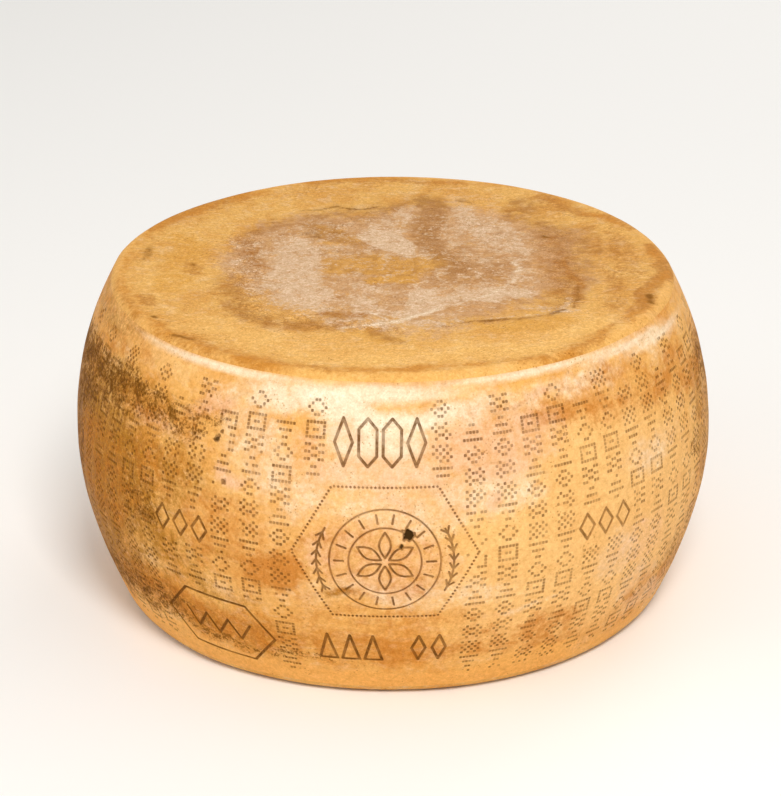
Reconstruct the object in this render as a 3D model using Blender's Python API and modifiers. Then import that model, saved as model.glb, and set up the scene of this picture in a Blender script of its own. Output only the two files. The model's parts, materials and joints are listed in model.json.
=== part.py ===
"""A whole wheel of hard grating cheese, resting on its flat underside.

Metres, +Z up, origin at the centre of the underside, the stamped front towards -Y.
The wheel is a turned profile with a bulging side, a rounded edge at both faces and a
shallow dish in the top. It is a little out of round, as aged wheels are. The marks that
were pressed into the young rind are cut as grooves.
"""
from math import atan2, cos, hypot, pi, radians, sin

import bmesh
import bpy

# Size of the wheel
BELLY_RADIUS = 0.225
HEIGHT = 0.230
BELLY_HEIGHT = 0.113
TOP_EDGE_RADIUS = 0.194
BASE_EDGE_RADIUS = 0.195
UPPER_BULGE = 2.05
LOWER_BULGE = 1.82
TOP_ROUNDING = 0.004
BASE_ROUNDING = 0.007
TOP_DISH = 0.0022
DISH_SHAPE = 4

# Lobes of the out-of-round shape: lobes round the girth, height, phase at the base, twist to the top.
# Their number is even, so that the wheel stays centred on its origin.
LOBES = (
    (2, 0.0009, 0.7, 0.5),
    (4, 0.0005, 2.1, -0.9),
    (6, 0.0004, 4.0, 1.3),
)
# Waves of the top face: height, wavelength, direction, phase
TOP_WAVES = (
    (0.0005, 0.210, radians(20), 0.4),
    (0.0004, 0.130, radians(105), 1.9),
)

# Faces along each stretch of the profile, and round the wheel
TURN_STEPS = 120
TOP_RINGS = 4
ROUNDING_RINGS = 3
SIDE_RINGS = 16
BASE_RINGS = 2

# Pressed marks: a round-bottomed groove, drawn by points no further apart than MARK_POINT_GAP
GROOVE_RADIUS = 0.0008
GROOVE_SIDES = 1
MARK_POINT_GAP = 0.008

# Tall outlines above the medallion
TALL_ROW_CENTRE = (radians(-2.1), 0.1905)
TALL_ROW_PITCH = 0.0155
TALL_SIZE = (0.0115, 0.029)
TALL_SHOULDER = 0.22

# Round medallion on the belly
MEDALLION_CENTRE = (radians(-1.2), 0.113)
MEDALLION_RINGS = (0.036, 0.0235)
MEDALLION_RING_POINTS = 36
ROSETTE_PETALS = 6
PETAL_SPAN = (0.0030, 0.0205)
PETAL_WIDTH = 0.0075
PETAL_POINTS = 4

# Low row near the base: three triangles, a gap, two small lozenges
LOW_ROW_HEIGHT = 0.0435
LOW_ROW_ANGLES = (radians(-11.4), radians(-7.4), radians(-3.4))
LOW_PAIR_ANGLES = (radians(4.6), radians(8.2))
LOW_TRIANGLE_SIZE = (0.0115, 0.021)
LOW_LOZENGE_SIZE = (0.009, 0.021)

# Trios of lozenges: left and right of the medallion, and two more round the back
TRIO_CENTRES = tuple((radians(angle), 0.118) for angle in (-38.0, 38.8, 115.5, -114.8))
TRIO_PITCH = 0.016
TRIO_SIZE = (0.0120, 0.018)

# Tilted six-sided cartouche, low on the left
CARTOUCHE_CENTRE = (radians(-32.6), 0.044)
CARTOUCHE_SIZE = (0.084, 0.047)
CARTOUCHE_SHOULDER = 0.22
CARTOUCHE_TILT = radians(-3)
ZIGZAG_POINTS = 7
ZIGZAG_SIZE = (0.050, 0.014)

RIND_COLOUR = (0.78, 0.47, 0.17, 1.0)
RIND_ROUGHNESS = 0.55


def side_radius(z):
    """Radius of the bulging side at height z, before its edges are rounded."""
    if z > BELLY_HEIGHT:
        share = (z - BELLY_HEIGHT) / (HEIGHT - BELLY_HEIGHT)
        return BELLY_RADIUS - (BELLY_RADIUS - TOP_EDGE_RADIUS) * share ** UPPER_BULGE
    share = (BELLY_HEIGHT - z) / BELLY_HEIGHT
    return BELLY_RADIUS - (BELLY_RADIUS - BASE_EDGE_RADIUS) * share ** LOWER_BULGE


def top_height(radius):
    """Height of the dished top face at a radius."""
    rim = TOP_EDGE_RADIUS - TOP_ROUNDING
    return HEIGHT - TOP_DISH * (1 - (radius / rim) ** DISH_SHAPE)


def profile():
    """Half section of the wheel as (radius, height), from the middle of the top down to the base."""
    points = []
    rim = TOP_EDGE_RADIUS - TOP_ROUNDING
    for ring in range(TOP_RINGS):
        radius = rim * (ring / TOP_RINGS) ** 0.6
        points.append((radius, top_height(radius)))
    for ring in range(ROUNDING_RINGS + 1):
        turn = pi / 2 * (1 - ring / ROUNDING_RINGS)
        z = HEIGHT - TOP_ROUNDING * (1 - sin(turn))
        points.append((side_radius(z) - TOP_ROUNDING * (1 - cos(turn)), z))
    top = HEIGHT - TOP_ROUNDING
    for ring in range(1, SIDE_RINGS):
        z = top + (BASE_ROUNDING - top) * ring / SIDE_RINGS
        points.append((side_radius(z), z))
    for ring in range(ROUNDING_RINGS + 1):
        turn = pi / 2 * ring / ROUNDING_RINGS
        z = BASE_ROUNDING * (1 - sin(turn))
        points.append((side_radius(z) - BASE_ROUNDING * (1 - cos(turn)), z))
    foot = points[-1][0]
    for ring in range(1, BASE_RINGS + 1):
        points.append((foot * (1 - ring / BASE_RINGS), 0.0))
    return points


def out_of_round(angle, z):
    """Factor by which the wheel's radius differs from a true circle."""
    swell = sum(height * cos(lobes * angle + phase + twist * z / HEIGHT)
                for lobes, height, phase, twist in LOBES)
    return 1 + swell / BELLY_RADIUS


def top_wave(x, y):
    """Gentle waves of the top face."""
    return sum(height * sin(2 * pi * (x * cos(way) + y * sin(way)) / length + phase)
               for height, length, way, phase in TOP_WAVES)


def on_side(along, z, angle=0.0):
    """Point of the side: a distance along the girth from an angle, and a height."""
    turned = angle + along / side_radius(z)
    radius = side_radius(z) * out_of_round(turned, z)
    return radius * sin(turned), -radius * cos(turned), z


def wheel_mesh(material):
    """Turns the profile, then makes it out of round and its top face wavy."""
    curve = bpy.data.curves.new("wheel_profile", "CURVE")
    curve.dimensions = "3D"
    spline = curve.splines.new("POLY")
    section = profile()
    spline.points.add(len(section) - 1)
    for point, (radius, z) in zip(spline.points, section):
        point.co = (radius, 0.0, z, 1.0)
    turned = bpy.data.objects.new("wheel_profile", curve)
    bpy.context.scene.collection.objects.link(turned)
    screw = turned.modifiers.new("turn", "SCREW")
    screw.steps = screw.render_steps = TURN_STEPS
    screw.use_merge_vertices = True
    screw.merge_threshold = 0.00005
    bpy.context.view_layer.update()
    evaluated = turned.evaluated_get(bpy.context.evaluated_depsgraph_get())
    mesh = bpy.data.meshes.new_from_object(evaluated)
    bpy.data.objects.remove(turned)
    mesh.name = "cheese_wheel"

    rim = TOP_EDGE_RADIUS - TOP_ROUNDING
    for vertex in mesh.vertices:
        x, y, z = vertex.co
        radius = hypot(x, y)
        if z > HEIGHT / 2 and radius < rim * 0.99:
            vertex.co.z += top_wave(x, y) * (1 - (radius / rim) ** 2)
        factor = out_of_round(atan2(x, -y), z)
        vertex.co.x = x * factor
        vertex.co.y = y * factor
    mesh.materials.clear()
    mesh.materials.append(material)
    mesh.shade_smooth()
    return mesh


def closed_figure(corners):
    """Points along a closed outline, its long edges divided."""
    points = []
    for start, end in zip(corners, corners[1:] + corners[:1]):
        points += divided(start, end)[:-1]
    return points


def divided(start, end):
    """Points along one straight edge, both ends included."""
    length = hypot(end[0] - start[0], end[1] - start[1])
    parts = max(1, round(length / MARK_POINT_GAP))
    return [(start[0] + (end[0] - start[0]) * k / parts, start[1] + (end[1] - start[1]) * k / parts)
            for k in range(parts + 1)]


def lozenge(width, height):
    """Upright lozenge."""
    return closed_figure([(0, height / 2), (width / 2, 0), (0, -height / 2), (-width / 2, 0)])


def tall_hexagon(width, height, shoulder):
    """Six-sided outline with points at top and bottom and upright sides."""
    side = height / 2 * (1 - 2 * shoulder)
    return closed_figure([(0, height / 2), (width / 2, side), (width / 2, -side),
                          (0, -height / 2), (-width / 2, -side), (-width / 2, side)])


def wide_hexagon(width, height, shoulder):
    """Six-sided outline with points at left and right."""
    flat = width / 2 * (1 - 2 * shoulder)
    return closed_figure([(-width / 2, 0), (-flat, height / 2), (flat, height / 2),
                          (width / 2, 0), (flat, -height / 2), (-flat, -height / 2)])


def triangle(width, height):
    """Triangle standing on its base."""
    return closed_figure([(0, height / 2), (width / 2, -height / 2), (-width / 2, -height / 2)])


def ring(radius, count):
    """Circle."""
    return [(radius * cos(2 * pi * k / count), radius * sin(2 * pi * k / count)) for k in range(count)]


def petal(way):
    """Pointed petal of the rosette, turned to point one way."""
    inner, outer = PETAL_SPAN
    half = []
    for k in range(PETAL_POINTS + 1):
        share = k / PETAL_POINTS
        half.append((inner + (outer - inner) * share, PETAL_WIDTH / 2 * sin(pi * share)))
    loop = half + [(along, -across) for along, across in reversed(half[1:-1])]
    return [(along * cos(way) - across * sin(way), along * sin(way) + across * cos(way))
            for along, across in loop]


def zigzag():
    """Open zigzag line."""
    width, height = ZIGZAG_SIZE
    return [(width * (k / (ZIGZAG_POINTS - 1) - 0.5), height / 2 * (-1) ** k) for k in range(ZIGZAG_POINTS)]


def cut_mark(name, outline, centre, cutters, tilt=0.0, offset=0.0, closed=True):
    """Round bar laid along an outline on the side, for cutting its groove."""
    angle, height = centre
    curve = bpy.data.curves.new(name, "CURVE")
    curve.dimensions = "3D"
    curve.bevel_depth = GROOVE_RADIUS
    curve.bevel_resolution = GROOVE_SIDES
    curve.use_fill_caps = True
    spline = curve.splines.new("POLY")
    spline.points.add(len(outline) - 1)
    spline.use_cyclic_u = closed
    for point, (across, up) in zip(spline.points, outline):
        along = offset + across * cos(tilt) - up * sin(tilt)
        rise = across * sin(tilt) + up * cos(tilt)
        point.co = (*on_side(along, height + rise, angle), 1.0)
    bar = bpy.data.objects.new(name, curve)
    cutters.objects.link(bar)
    bpy.context.view_layer.update()
    mesh = bpy.data.meshes.new_from_object(bar.evaluated_get(bpy.context.evaluated_depsgraph_get()))
    bpy.data.objects.remove(bar)
    solid = bpy.data.objects.new(name, mesh)
    weld(mesh)
    solid.hide_render = True
    solid.display_type = "WIRE"
    cutters.objects.link(solid)


def weld(mesh):
    """Joins a bar's caps to its wall."""
    cage = bmesh.new()
    cage.from_mesh(mesh)
    bmesh.ops.remove_doubles(cage, verts=cage.verts, dist=0.00001)
    bmesh.ops.recalc_face_normals(cage, faces=cage.faces)
    cage.to_mesh(mesh)
    cage.free()


def pressed_marks(cutters):
    """All the marks pressed into the side."""
    tall = (lozenge(*TALL_SIZE), tall_hexagon(*TALL_SIZE, TALL_SHOULDER))
    for k in range(4):
        outline = tall[0] if k in (0, 3) else tall[1]
        cut_mark(f"tall_outline_{k}", outline, TALL_ROW_CENTRE, cutters, offset=TALL_ROW_PITCH * (k - 1.5))

    for k, radius in enumerate(MEDALLION_RINGS):
        cut_mark(f"medallion_ring_{k}", ring(radius, MEDALLION_RING_POINTS), MEDALLION_CENTRE, cutters)
    for k in range(ROSETTE_PETALS):
        cut_mark(f"petal_{k}", petal(2 * pi * (k + 0.5) / ROSETTE_PETALS), MEDALLION_CENTRE, cutters)

    for k, angle in enumerate(LOW_ROW_ANGLES):
        cut_mark(f"low_triangle_{k}", triangle(*LOW_TRIANGLE_SIZE), (angle, LOW_ROW_HEIGHT), cutters)
    for k, angle in enumerate(LOW_PAIR_ANGLES):
        cut_mark(f"low_lozenge_{k}", lozenge(*LOW_LOZENGE_SIZE), (angle, LOW_ROW_HEIGHT), cutters)

    for group, centre in enumerate(TRIO_CENTRES):
        for k in range(3):
            cut_mark(f"trio_{group}_{k}", lozenge(*TRIO_SIZE), centre, cutters, offset=TRIO_PITCH * (k - 1))

    outline = wide_hexagon(*CARTOUCHE_SIZE, CARTOUCHE_SHOULDER)
    cut_mark("cartouche", outline, CARTOUCHE_CENTRE, cutters, tilt=CARTOUCHE_TILT)
    cut_mark("cartouche_zigzag", zigzag(), CARTOUCHE_CENTRE, cutters, tilt=CARTOUCHE_TILT, closed=False)


def rind_material():
    """Golden straw-coloured rind."""
    material = bpy.data.materials.new("cheese_rind")
    material.use_nodes = True
    shader = material.node_tree.nodes["Principled BSDF"]
    shader.inputs["Base Color"].default_value = RIND_COLOUR
    shader.inputs["Roughness"].default_value = RIND_ROUGHNESS
    shader.inputs["Metallic"].default_value = 0.0
    material.diffuse_color = RIND_COLOUR
    return material


def main():
    for thing in list(bpy.data.objects):
        bpy.data.objects.remove(thing)
    parts = bpy.data.collections.new("hard_cheese_wheel")
    cutters = bpy.data.collections.new("mark_cutters")
    bpy.context.scene.collection.children.link(parts)
    bpy.context.scene.collection.children.link(cutters)

    wheel = bpy.data.objects.new("cheese_wheel", wheel_mesh(rind_material()))
    parts.objects.link(wheel)
    pressed_marks(cutters)
    press = wheel.modifiers.new("pressed_marks", "BOOLEAN")
    press.operation = "DIFFERENCE"
    press.solver = "EXACT"
    press.operand_type = "COLLECTION"
    press.collection = cutters


main()
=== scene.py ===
"""A whole aged wheel of hard cheese: pricked and pressed side, dry top face and plain underside."""
import json
from math import cos, pi, radians, sin, tau

import bpy
import numpy as np
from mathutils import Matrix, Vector, noise

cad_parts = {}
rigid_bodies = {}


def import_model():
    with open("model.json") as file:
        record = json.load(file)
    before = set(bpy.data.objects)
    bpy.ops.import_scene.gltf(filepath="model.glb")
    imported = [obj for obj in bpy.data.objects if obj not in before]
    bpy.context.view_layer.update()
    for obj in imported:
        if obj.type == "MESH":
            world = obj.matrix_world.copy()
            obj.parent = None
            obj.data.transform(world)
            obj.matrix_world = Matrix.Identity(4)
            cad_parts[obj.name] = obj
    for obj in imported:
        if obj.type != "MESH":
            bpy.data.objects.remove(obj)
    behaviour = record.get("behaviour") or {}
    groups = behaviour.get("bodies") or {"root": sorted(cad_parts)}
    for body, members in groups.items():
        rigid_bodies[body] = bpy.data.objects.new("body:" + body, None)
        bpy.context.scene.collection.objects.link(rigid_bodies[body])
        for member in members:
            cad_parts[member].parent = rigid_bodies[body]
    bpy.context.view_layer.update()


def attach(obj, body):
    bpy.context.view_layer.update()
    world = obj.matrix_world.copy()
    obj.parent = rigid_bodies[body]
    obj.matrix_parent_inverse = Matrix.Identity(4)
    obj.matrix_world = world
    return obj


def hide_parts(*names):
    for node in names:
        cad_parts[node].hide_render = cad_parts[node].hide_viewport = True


for spare in [item for item in bpy.data.objects if item.name in ("Cube", "Light", "Camera")]:
    bpy.data.objects.remove(spare)
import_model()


# Side of the wheel. A young wheel sits in a hoop lined with a needle band, which pricks columns of
# small ornaments into its side, and stamps press the larger marks. The side bulges as it ages.
# It is laid out flat in cells, one for each needle's place, and then wrapped round the wheel.
BELLY_RADIUS = 0.225
HEIGHT = 0.230
BELLY_HEIGHT = 0.113
TOP_EDGE_RADIUS = 0.194
BASE_EDGE_RADIUS = 0.195
UPPER_BULGE = 2.05
LOWER_BULGE = 1.82
TOP_ROUNDING = 0.004
BASE_ROUNDING = 0.007
LOBES = (
    (2, 0.0009, 0.7, 0.5),
    (4, 0.0005, 2.1, -0.9),
    (6, 0.0004, 4.0, 1.3),
)
SWELLS = ((0.070, 0.0007), (0.016, 0.00022))
SECTION_POINTS = 400

COLUMNS = 66
COLUMN_CELLS = 9
FINE_CELLS = 5
SIDE_PIECES = 4


def side_radius(z):
    """Radius of the side at a height, before its edges are rounded."""
    up = np.clip((z - BELLY_HEIGHT) / (HEIGHT - BELLY_HEIGHT), 0, None)
    down = np.clip((BELLY_HEIGHT - z) / BELLY_HEIGHT, 0, None)
    fall_up = (BELLY_RADIUS - TOP_EDGE_RADIUS) * up ** UPPER_BULGE
    fall_down = (BELLY_RADIUS - BASE_EDGE_RADIUS) * down ** LOWER_BULGE
    return BELLY_RADIUS - fall_up - fall_down


def girth_factor(angle, z):
    """Factor by which the radius differs from a true circle: slow lobes and small swells."""
    growth = np.zeros_like(angle)
    for lobes, size, phase, twist in LOBES:
        growth += size * np.cos(lobes * angle + phase + twist * z / HEIGHT)
    places = np.stack([BELLY_RADIUS * np.sin(angle), -BELLY_RADIUS * np.cos(angle), z], 1)
    for length, size in SWELLS:
        growth += size * np.array([noise.noise(Vector(place)) for place in places / length])
    return 1 + growth / BELLY_RADIUS


def wheel_point(angle, z):
    """Points of the finished side at given angles and heights."""
    radius = side_radius(z) * girth_factor(angle, z)
    return np.stack([radius * np.sin(angle), -radius * np.cos(angle), z], 1)


section_z = np.linspace(HEIGHT - TOP_ROUNDING, BASE_ROUNDING, SECTION_POINTS)
section_r = side_radius(section_z)
section_run = np.concatenate([[0.0], np.cumsum(np.hypot(np.diff(section_r), np.diff(section_z)))])
AROUND = COLUMNS * COLUMN_CELLS
CELL = tau * BELLY_RADIUS / AROUND
ROWS = round(section_run[-1] / CELL)
ROW = section_run[-1] / ROWS


def run_at(z):
    """Distance down the side's section from its upper edge to a height."""
    return np.interp(-np.asarray(z), -section_z, section_run)


def height_at(run):
    """Height at a distance down the section."""
    return np.interp(run, section_run, section_z)


# The stamped marks, drawn as (across, up) outlines in metres: plain figures, wide enough to show.
STROKE = 0.00085
STROKE_DEPTH = 0.0009
THIN_STROKE = 0.00062
PRICK_RADIUS = 0.00086
PRICK_DEPTH = 0.0010
BORDER_PITCH = 0.0027
MARK_REACH = 0.0009

TALL_ROW = (radians(-2.1), 0.1905)
TALL_PITCH = 0.0155
TALL_SIZE = (0.0115, 0.029)
MEDALLION = (radians(-1.2), 0.113)
MEDALLION_RINGS = (0.036, 0.0235)
MEDALLION_TICKS = 18
TICK_SPAN = (0.0268, 0.0328)
PETALS = 6
PETAL_SPAN = (0.0030, 0.0205)
PETAL_WIDTH = 0.0075
SPRIG_RADIUS = 0.0445
SPRIG_REACH = radians(30)
SPRIG_LEAVES = 7
LEAF_LENGTH = 0.0052
BORDER_SIZE = (0.122, 0.092)
BORDER_RISE = 0.004
LOW_HEIGHT = 0.0435
LOW_TRIANGLES = (radians(-11.4), radians(-7.4), radians(-3.4))
LOW_LOZENGES = (radians(4.6), radians(8.2))
LOW_TRIANGLE_SIZE = (0.0115, 0.021)
LOW_LOZENGE_SIZE = (0.009, 0.021)
TRIOS = tuple((radians(angle), 0.118) for angle in (-38.0, 38.8, 115.5, -114.8))
TRIO_PITCH = 0.016
TRIO_SIZE = (0.0120, 0.018)
CARTOUCHE = (radians(-32.6), 0.044)
CARTOUCHE_SIZE = (0.084, 0.047)
CARTOUCHE_TILT = radians(-3)
SHOULDER = 0.22
ZIGZAG_SIZE = (0.050, 0.014)

strokes = []
loose_pricks = []


def closed(corners):
    """Outline that comes back to its first corner."""
    return np.array(list(corners) + [corners[0]], float)


def lozenge(width, height):
    """Upright lozenge."""
    return closed([(0, height / 2), (width / 2, 0), (0, -height / 2), (-width / 2, 0)])


def hexagon(width, height):
    """Six-sided outline, pointed along its longer way."""
    flat = 1 - 2 * SHOULDER
    if height > width:
        return closed([(0, height / 2), (width / 2, flat * height / 2), (width / 2, -flat * height / 2),
                       (0, -height / 2), (-width / 2, -flat * height / 2), (-width / 2, flat * height / 2)])
    return hexagon(height, width)[:, ::-1]


def triangle(width, height):
    """Triangle on its base."""
    return closed([(0, height / 2), (width / 2, -height / 2), (-width / 2, -height / 2)])


def arc(radius, start, end, count):
    """Part of a circle."""
    turns = np.linspace(start, end, count)
    return radius * np.stack([np.cos(turns), np.sin(turns)], 1)


def turned(outline, turn):
    """Outline turned about its own origin."""
    spin = np.array([[cos(turn), sin(turn)], [-sin(turn), cos(turn)]])
    return outline @ spin


def petal(way):
    """Pointed petal, from near the middle outwards."""
    share = np.linspace(0, 1, 9)
    along = PETAL_SPAN[0] + (PETAL_SPAN[1] - PETAL_SPAN[0]) * share
    across = PETAL_WIDTH / 2 * np.sin(pi * share)
    half = np.stack([along, across], 1)
    return turned(np.concatenate([half, half[::-1] * (1, -1)]), way)


def laid_flat(outline, centre, tilt=0.0, offset=0.0):
    """Puts an outline at its place on the unrolled side."""
    angle, height = centre
    placed = turned(outline, tilt)
    rise = height + placed[:, 1]
    along = angle + (placed[:, 0] + offset) / side_radius(rise)
    return np.stack([BELLY_RADIUS * along, -run_at(rise)], 1)


def press(outline, centre, tilt=0.0, offset=0.0, half_width=STROKE, shade=1.0):
    """Adds one stamped stroke."""
    line = laid_flat(outline, centre, tilt, offset)
    strokes.append((line, half_width, float(side_radius(centre[1])), shade))


def prick_along(outline, centre):
    """Adds needle pricks at an even pitch along an outline."""
    line = laid_flat(outline, centre)
    run = np.concatenate([[0.0], np.cumsum(np.hypot(*np.diff(line, axis=0).T))])
    places = np.arange(0, run[-1] - BORDER_PITCH / 2, BORDER_PITCH)
    loose_pricks.extend(zip(np.interp(places, run, line[:, 0]), np.interp(places, run, line[:, 1])))


for k in range(4):
    figure = lozenge(*TALL_SIZE) if k in (0, 3) else hexagon(*TALL_SIZE)
    press(figure, TALL_ROW, offset=TALL_PITCH * (k - 1.5))
for radius in MEDALLION_RINGS:
    press(arc(radius, 0, tau, 73), MEDALLION, half_width=THIN_STROKE, shade=0.62)
for k in range(PETALS):
    press(petal(tau * (k + 0.5) / PETALS), MEDALLION, half_width=THIN_STROKE)
for k in range(MEDALLION_TICKS):
    tick = np.array([(TICK_SPAN[0], 0.0), (TICK_SPAN[1], 0.0)])
    press(turned(tick, tau * k / MEDALLION_TICKS), MEDALLION, half_width=THIN_STROKE)
for side in (0, pi):
    press(turned(arc(SPRIG_RADIUS, -SPRIG_REACH, SPRIG_REACH, 16), side), MEDALLION, half_width=THIN_STROKE)
    for k in range(SPRIG_LEAVES):
        spot = SPRIG_REACH * (2 * k / (SPRIG_LEAVES - 1) - 1) * 0.85
        for lean in (0.35, -0.35):
            start = np.array([SPRIG_RADIUS, 0.0])
            tip = start + LEAF_LENGTH * np.array([sin(lean) * 2, 1.0]) / 1.3
            press(turned(np.array([start, tip]), spot + side), MEDALLION, half_width=THIN_STROKE)
border = hexagon(*BORDER_SIZE)
prick_along(border, (MEDALLION[0], MEDALLION[1] + BORDER_RISE))
for angle in LOW_TRIANGLES:
    press(triangle(*LOW_TRIANGLE_SIZE), (angle, LOW_HEIGHT))
for angle in LOW_LOZENGES:
    press(lozenge(*LOW_LOZENGE_SIZE), (angle, LOW_HEIGHT))
for centre in TRIOS:
    for k in (-1, 0, 1):
        press(lozenge(*TRIO_SIZE), centre, offset=TRIO_PITCH * k)
press(hexagon(*CARTOUCHE_SIZE), CARTOUCHE, CARTOUCHE_TILT)
steps = np.arange(7)
zigzag = np.stack([ZIGZAG_SIZE[0] * (steps / 6 - 0.5), ZIGZAG_SIZE[1] / 2 * (-1.0) ** steps], 1)
press(zigzag, CARTOUCHE, CARTOUCHE_TILT)

# Pits in the rind, as (angle in degrees, height, radius, depth, darkness). Their near-black colour is
# partly the pit's own dark rind and partly painted shade in the hollow.
PITS = (
    (2.6, 0.1315, 0.0042, 0.0022, 1.9),
    (1.6, 0.1240, 0.0020, 0.0010, 1.5),
    (-31.4, 0.1810, 0.0028, 0.0012, 1.45),
    (-30.6, 0.1860, 0.0016, 0.0006, 0.9),
    (-29.3, 0.1555, 0.0022, 0.0008, 1.0),
    (141.0, 0.0900, 0.0034, 0.0016, 1.8),
    (-163.0, 0.1480, 0.0028, 0.0012, 1.5),
)
PIT_SHAPE = 0.0022


def unrolled(angle, z):
    """Place on the unrolled side of an angle in degrees and a height."""
    return BELLY_RADIUS * radians(angle), -float(run_at(z))


def line_distance(points, line):
    """Distance from each point to a chain of straight lines."""
    best = np.full(len(points), np.inf)
    for start, end in zip(line[:-1], line[1:]):
        way = end - start
        share = np.clip((points - start) @ way / max(way @ way, 1e-12), 0, 1)
        best = np.minimum(best, np.hypot(*(points - start - share[:, None] * way).T))
    return best


def pressed_in(points):
    """How deep each point is pressed in metres, and how dark it is painted there, from 0 to 1: partly the marks' own
    darker rind, partly painted shade in the recess.
    """
    depth = np.zeros(len(points))
    dark = np.zeros(len(points))
    for line, half_width, radius, shade in strokes:
        low, high = line.min(0) - 2 * MARK_REACH, line.max(0) + 2 * MARK_REACH
        near = np.where(((points > low) & (points < high)).all(1))[0]
        stretch = np.array([radius / BELLY_RADIUS, 1.0])
        far = line_distance(points[near] * stretch, line * stretch) / half_width
        share = np.clip(1.5 - far, 0, 1)
        share = share * share * (3 - 2 * share)
        depth[near] = np.maximum(depth[near], STROKE_DEPTH * share)
        dark[near] = np.maximum(dark[near], shade * share)
    for place in loose_pricks:
        near = np.where((np.abs(points - place) < 2 * PRICK_RADIUS).all(1))[0]
        share = np.clip(1.35 - np.hypot(*(points[near] - place).T) / PRICK_RADIUS, 0, 1)
        depth[near] = np.maximum(depth[near], PRICK_DEPTH * share)
        dark[near] = np.maximum(dark[near], share)
    for angle, height, size, deep, shade in PITS:
        place = np.array(unrolled(angle, height))
        near = np.where((np.abs(points - place) < 2.2 * size).all(1))[0]
        wander = [noise.noise(Vector((x, y, angle)) / PIT_SHAPE) for x, y in points[near]]
        far = np.hypot(*(points[near] - place).T) / size + 0.8 * np.array(wander)
        share = np.clip(1.3 - far, 0, 1)
        share = share * share * (3 - 2 * share)
        depth[near] = np.maximum(depth[near], deep * share)
        dark[near] = np.maximum(dark[near], shade * share)
    return depth, dark


def cells_near(places, reach):
    """Marks the cells that lie within reach of places on the unrolled side."""
    found = np.zeros((AROUND, ROWS), bool)
    for dx in (-reach, 0, reach):
        for dy in (-reach, 0, reach):
            column = np.floor((places[:, 0] + dx) / CELL + AROUND / 2).astype(int) % AROUND
            row = np.clip(np.floor((dy - places[:, 1]) / ROW), 0, ROWS - 1).astype(int)
            found[column, row] = True
    return found


fine = np.zeros((AROUND, ROWS), bool)
for line, half_width, radius, shade in strokes:
    run = np.concatenate([[0.0], np.cumsum(np.hypot(*np.diff(line, axis=0).T))])
    places = np.arange(0, run[-1], 0.0005)
    along = np.stack([np.interp(places, run, line[:, 0]), np.interp(places, run, line[:, 1])], 1)
    fine |= cells_near(along, MARK_REACH)
fine |= cells_near(np.array(loose_pricks), MARK_REACH)
for angle, height, size, deep, shade in PITS:
    rim = np.array([unrolled(angle, height)]) + size * np.concatenate([arc(1.3, 0, tau, 24), arc(0.6, 0, tau, 12)])
    fine |= cells_near(rim, MARK_REACH)
beside = np.roll(fine, 1, 0) | np.roll(fine, -1, 0)
beside[:, 1:] |= fine[:, :-1]
beside[:, :-1] |= fine[:, 1:]
bridge = beside & ~fine

# Needle columns: each ornament is five needles deep and six wide, and a plain row follows it.
# Columns start by turns at two heights. The first stands left of the tall row of marks.
ORNAMENTS = (
    ("..xx..", ".x..x.", "x....x", ".x..x.", "..xx.."),
    ("..xx..", "......", ".xxxx.", "......", "xxxxxx"),
    ("x.x.x.", ".x.x.x", "x.x.x.", ".x.x.x", "x.x.x."),
    ("xxxxxx", "x....x", "x.xx.x", "x....x", "xxxxxx"),
    ("..xx..", ".x..x.", "x.xx.x", ".x..x.", "..xx.."),
    ("xxxxxx", "......", ".xxxx.", "......", "..xx.."),
    ("xx..xx", "..xx..", "xx..xx", "..xx..", "xx..xx"),
    (".x..x.", "x.xx.x", ".x..x.", "x.xx.x", ".x..x."),
)
ORNAMENT_STEP = 6
FIRST_COLUMN_CELL = AROUND // 2 - 25
START_HEIGHTS = (0.2155, 0.2010)
END_HEIGHT = 0.0175
SHORT_COLUMNS = (0, 4)
SHORT_END = 0.168
BARE_COLUMNS = (1, 2, 3)
BARE_ZONES = (
    (CARTOUCHE, (0.047, 0.030)),
    *((centre, (0.026, 0.0125)) for centre in TRIOS),
)
MISSED_SHARE = 0.03

draw = np.random.default_rng(31)
needle = np.zeros((AROUND, ROWS))
for column in range(COLUMNS):
    first_row = round(float(run_at(START_HEIGHTS[column % 2])) / ROW)
    last_row = round(float(run_at(SHORT_END if column in SHORT_COLUMNS else END_HEIGHT)) / ROW)
    if column in BARE_COLUMNS:
        continue
    for row in range(first_row, last_row):
        ornament = ORNAMENTS[((row - first_row) // ORNAMENT_STEP * 3 + column * 5) % len(ORNAMENTS)]
        line = (row - first_row) % ORNAMENT_STEP
        for across in range(6):
            if line < len(ornament) and ornament[line][across] == "x":
                cell = (FIRST_COLUMN_CELL + column * COLUMN_CELLS + across) % AROUND
                needle[cell, row] = draw.uniform(0.7, 1.0) * (draw.random() > MISSED_SHARE)
cell_x = (np.arange(AROUND) + 0.5 - AROUND / 2) * CELL
cell_y = -(np.arange(ROWS) + 0.5) * ROW
for (angle, height), (reach_x, reach_z) in BARE_ZONES:
    zone_x = np.abs(cell_x - BELLY_RADIUS * angle) < reach_x
    zone_z = np.abs(height_at(-cell_y) - height) < reach_z
    needle[np.outer(zone_x, zone_z)] = 0
needle[fine | bridge] = 0


def flat_object(name, points, faces):
    """Mesh object from arrays of points and faces, for the node tree to read."""
    mesh = bpy.data.meshes.new(name)
    mesh.from_pydata(points, [], faces)
    made = bpy.data.objects.new(name, mesh)
    bpy.context.scene.collection.objects.link(made)
    return made


def store(mesh, name, values):
    """Stores one number for each point of a mesh."""
    layer = mesh.attributes.get(name) or mesh.attributes.new(name, "FLOAT", "POINT")
    layer.data.foreach_set("value", np.asarray(values, np.float32))


tiles = np.argwhere(~(fine | bridge))
tile_points = np.stack([cell_x[tiles[:, 0]], cell_y[tiles[:, 1]], np.zeros(len(tiles))], 1)
cells = flat_object("cells", tile_points, [])
store(cells.data, "needle", needle[tiles[:, 0], tiles[:, 1]])


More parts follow.
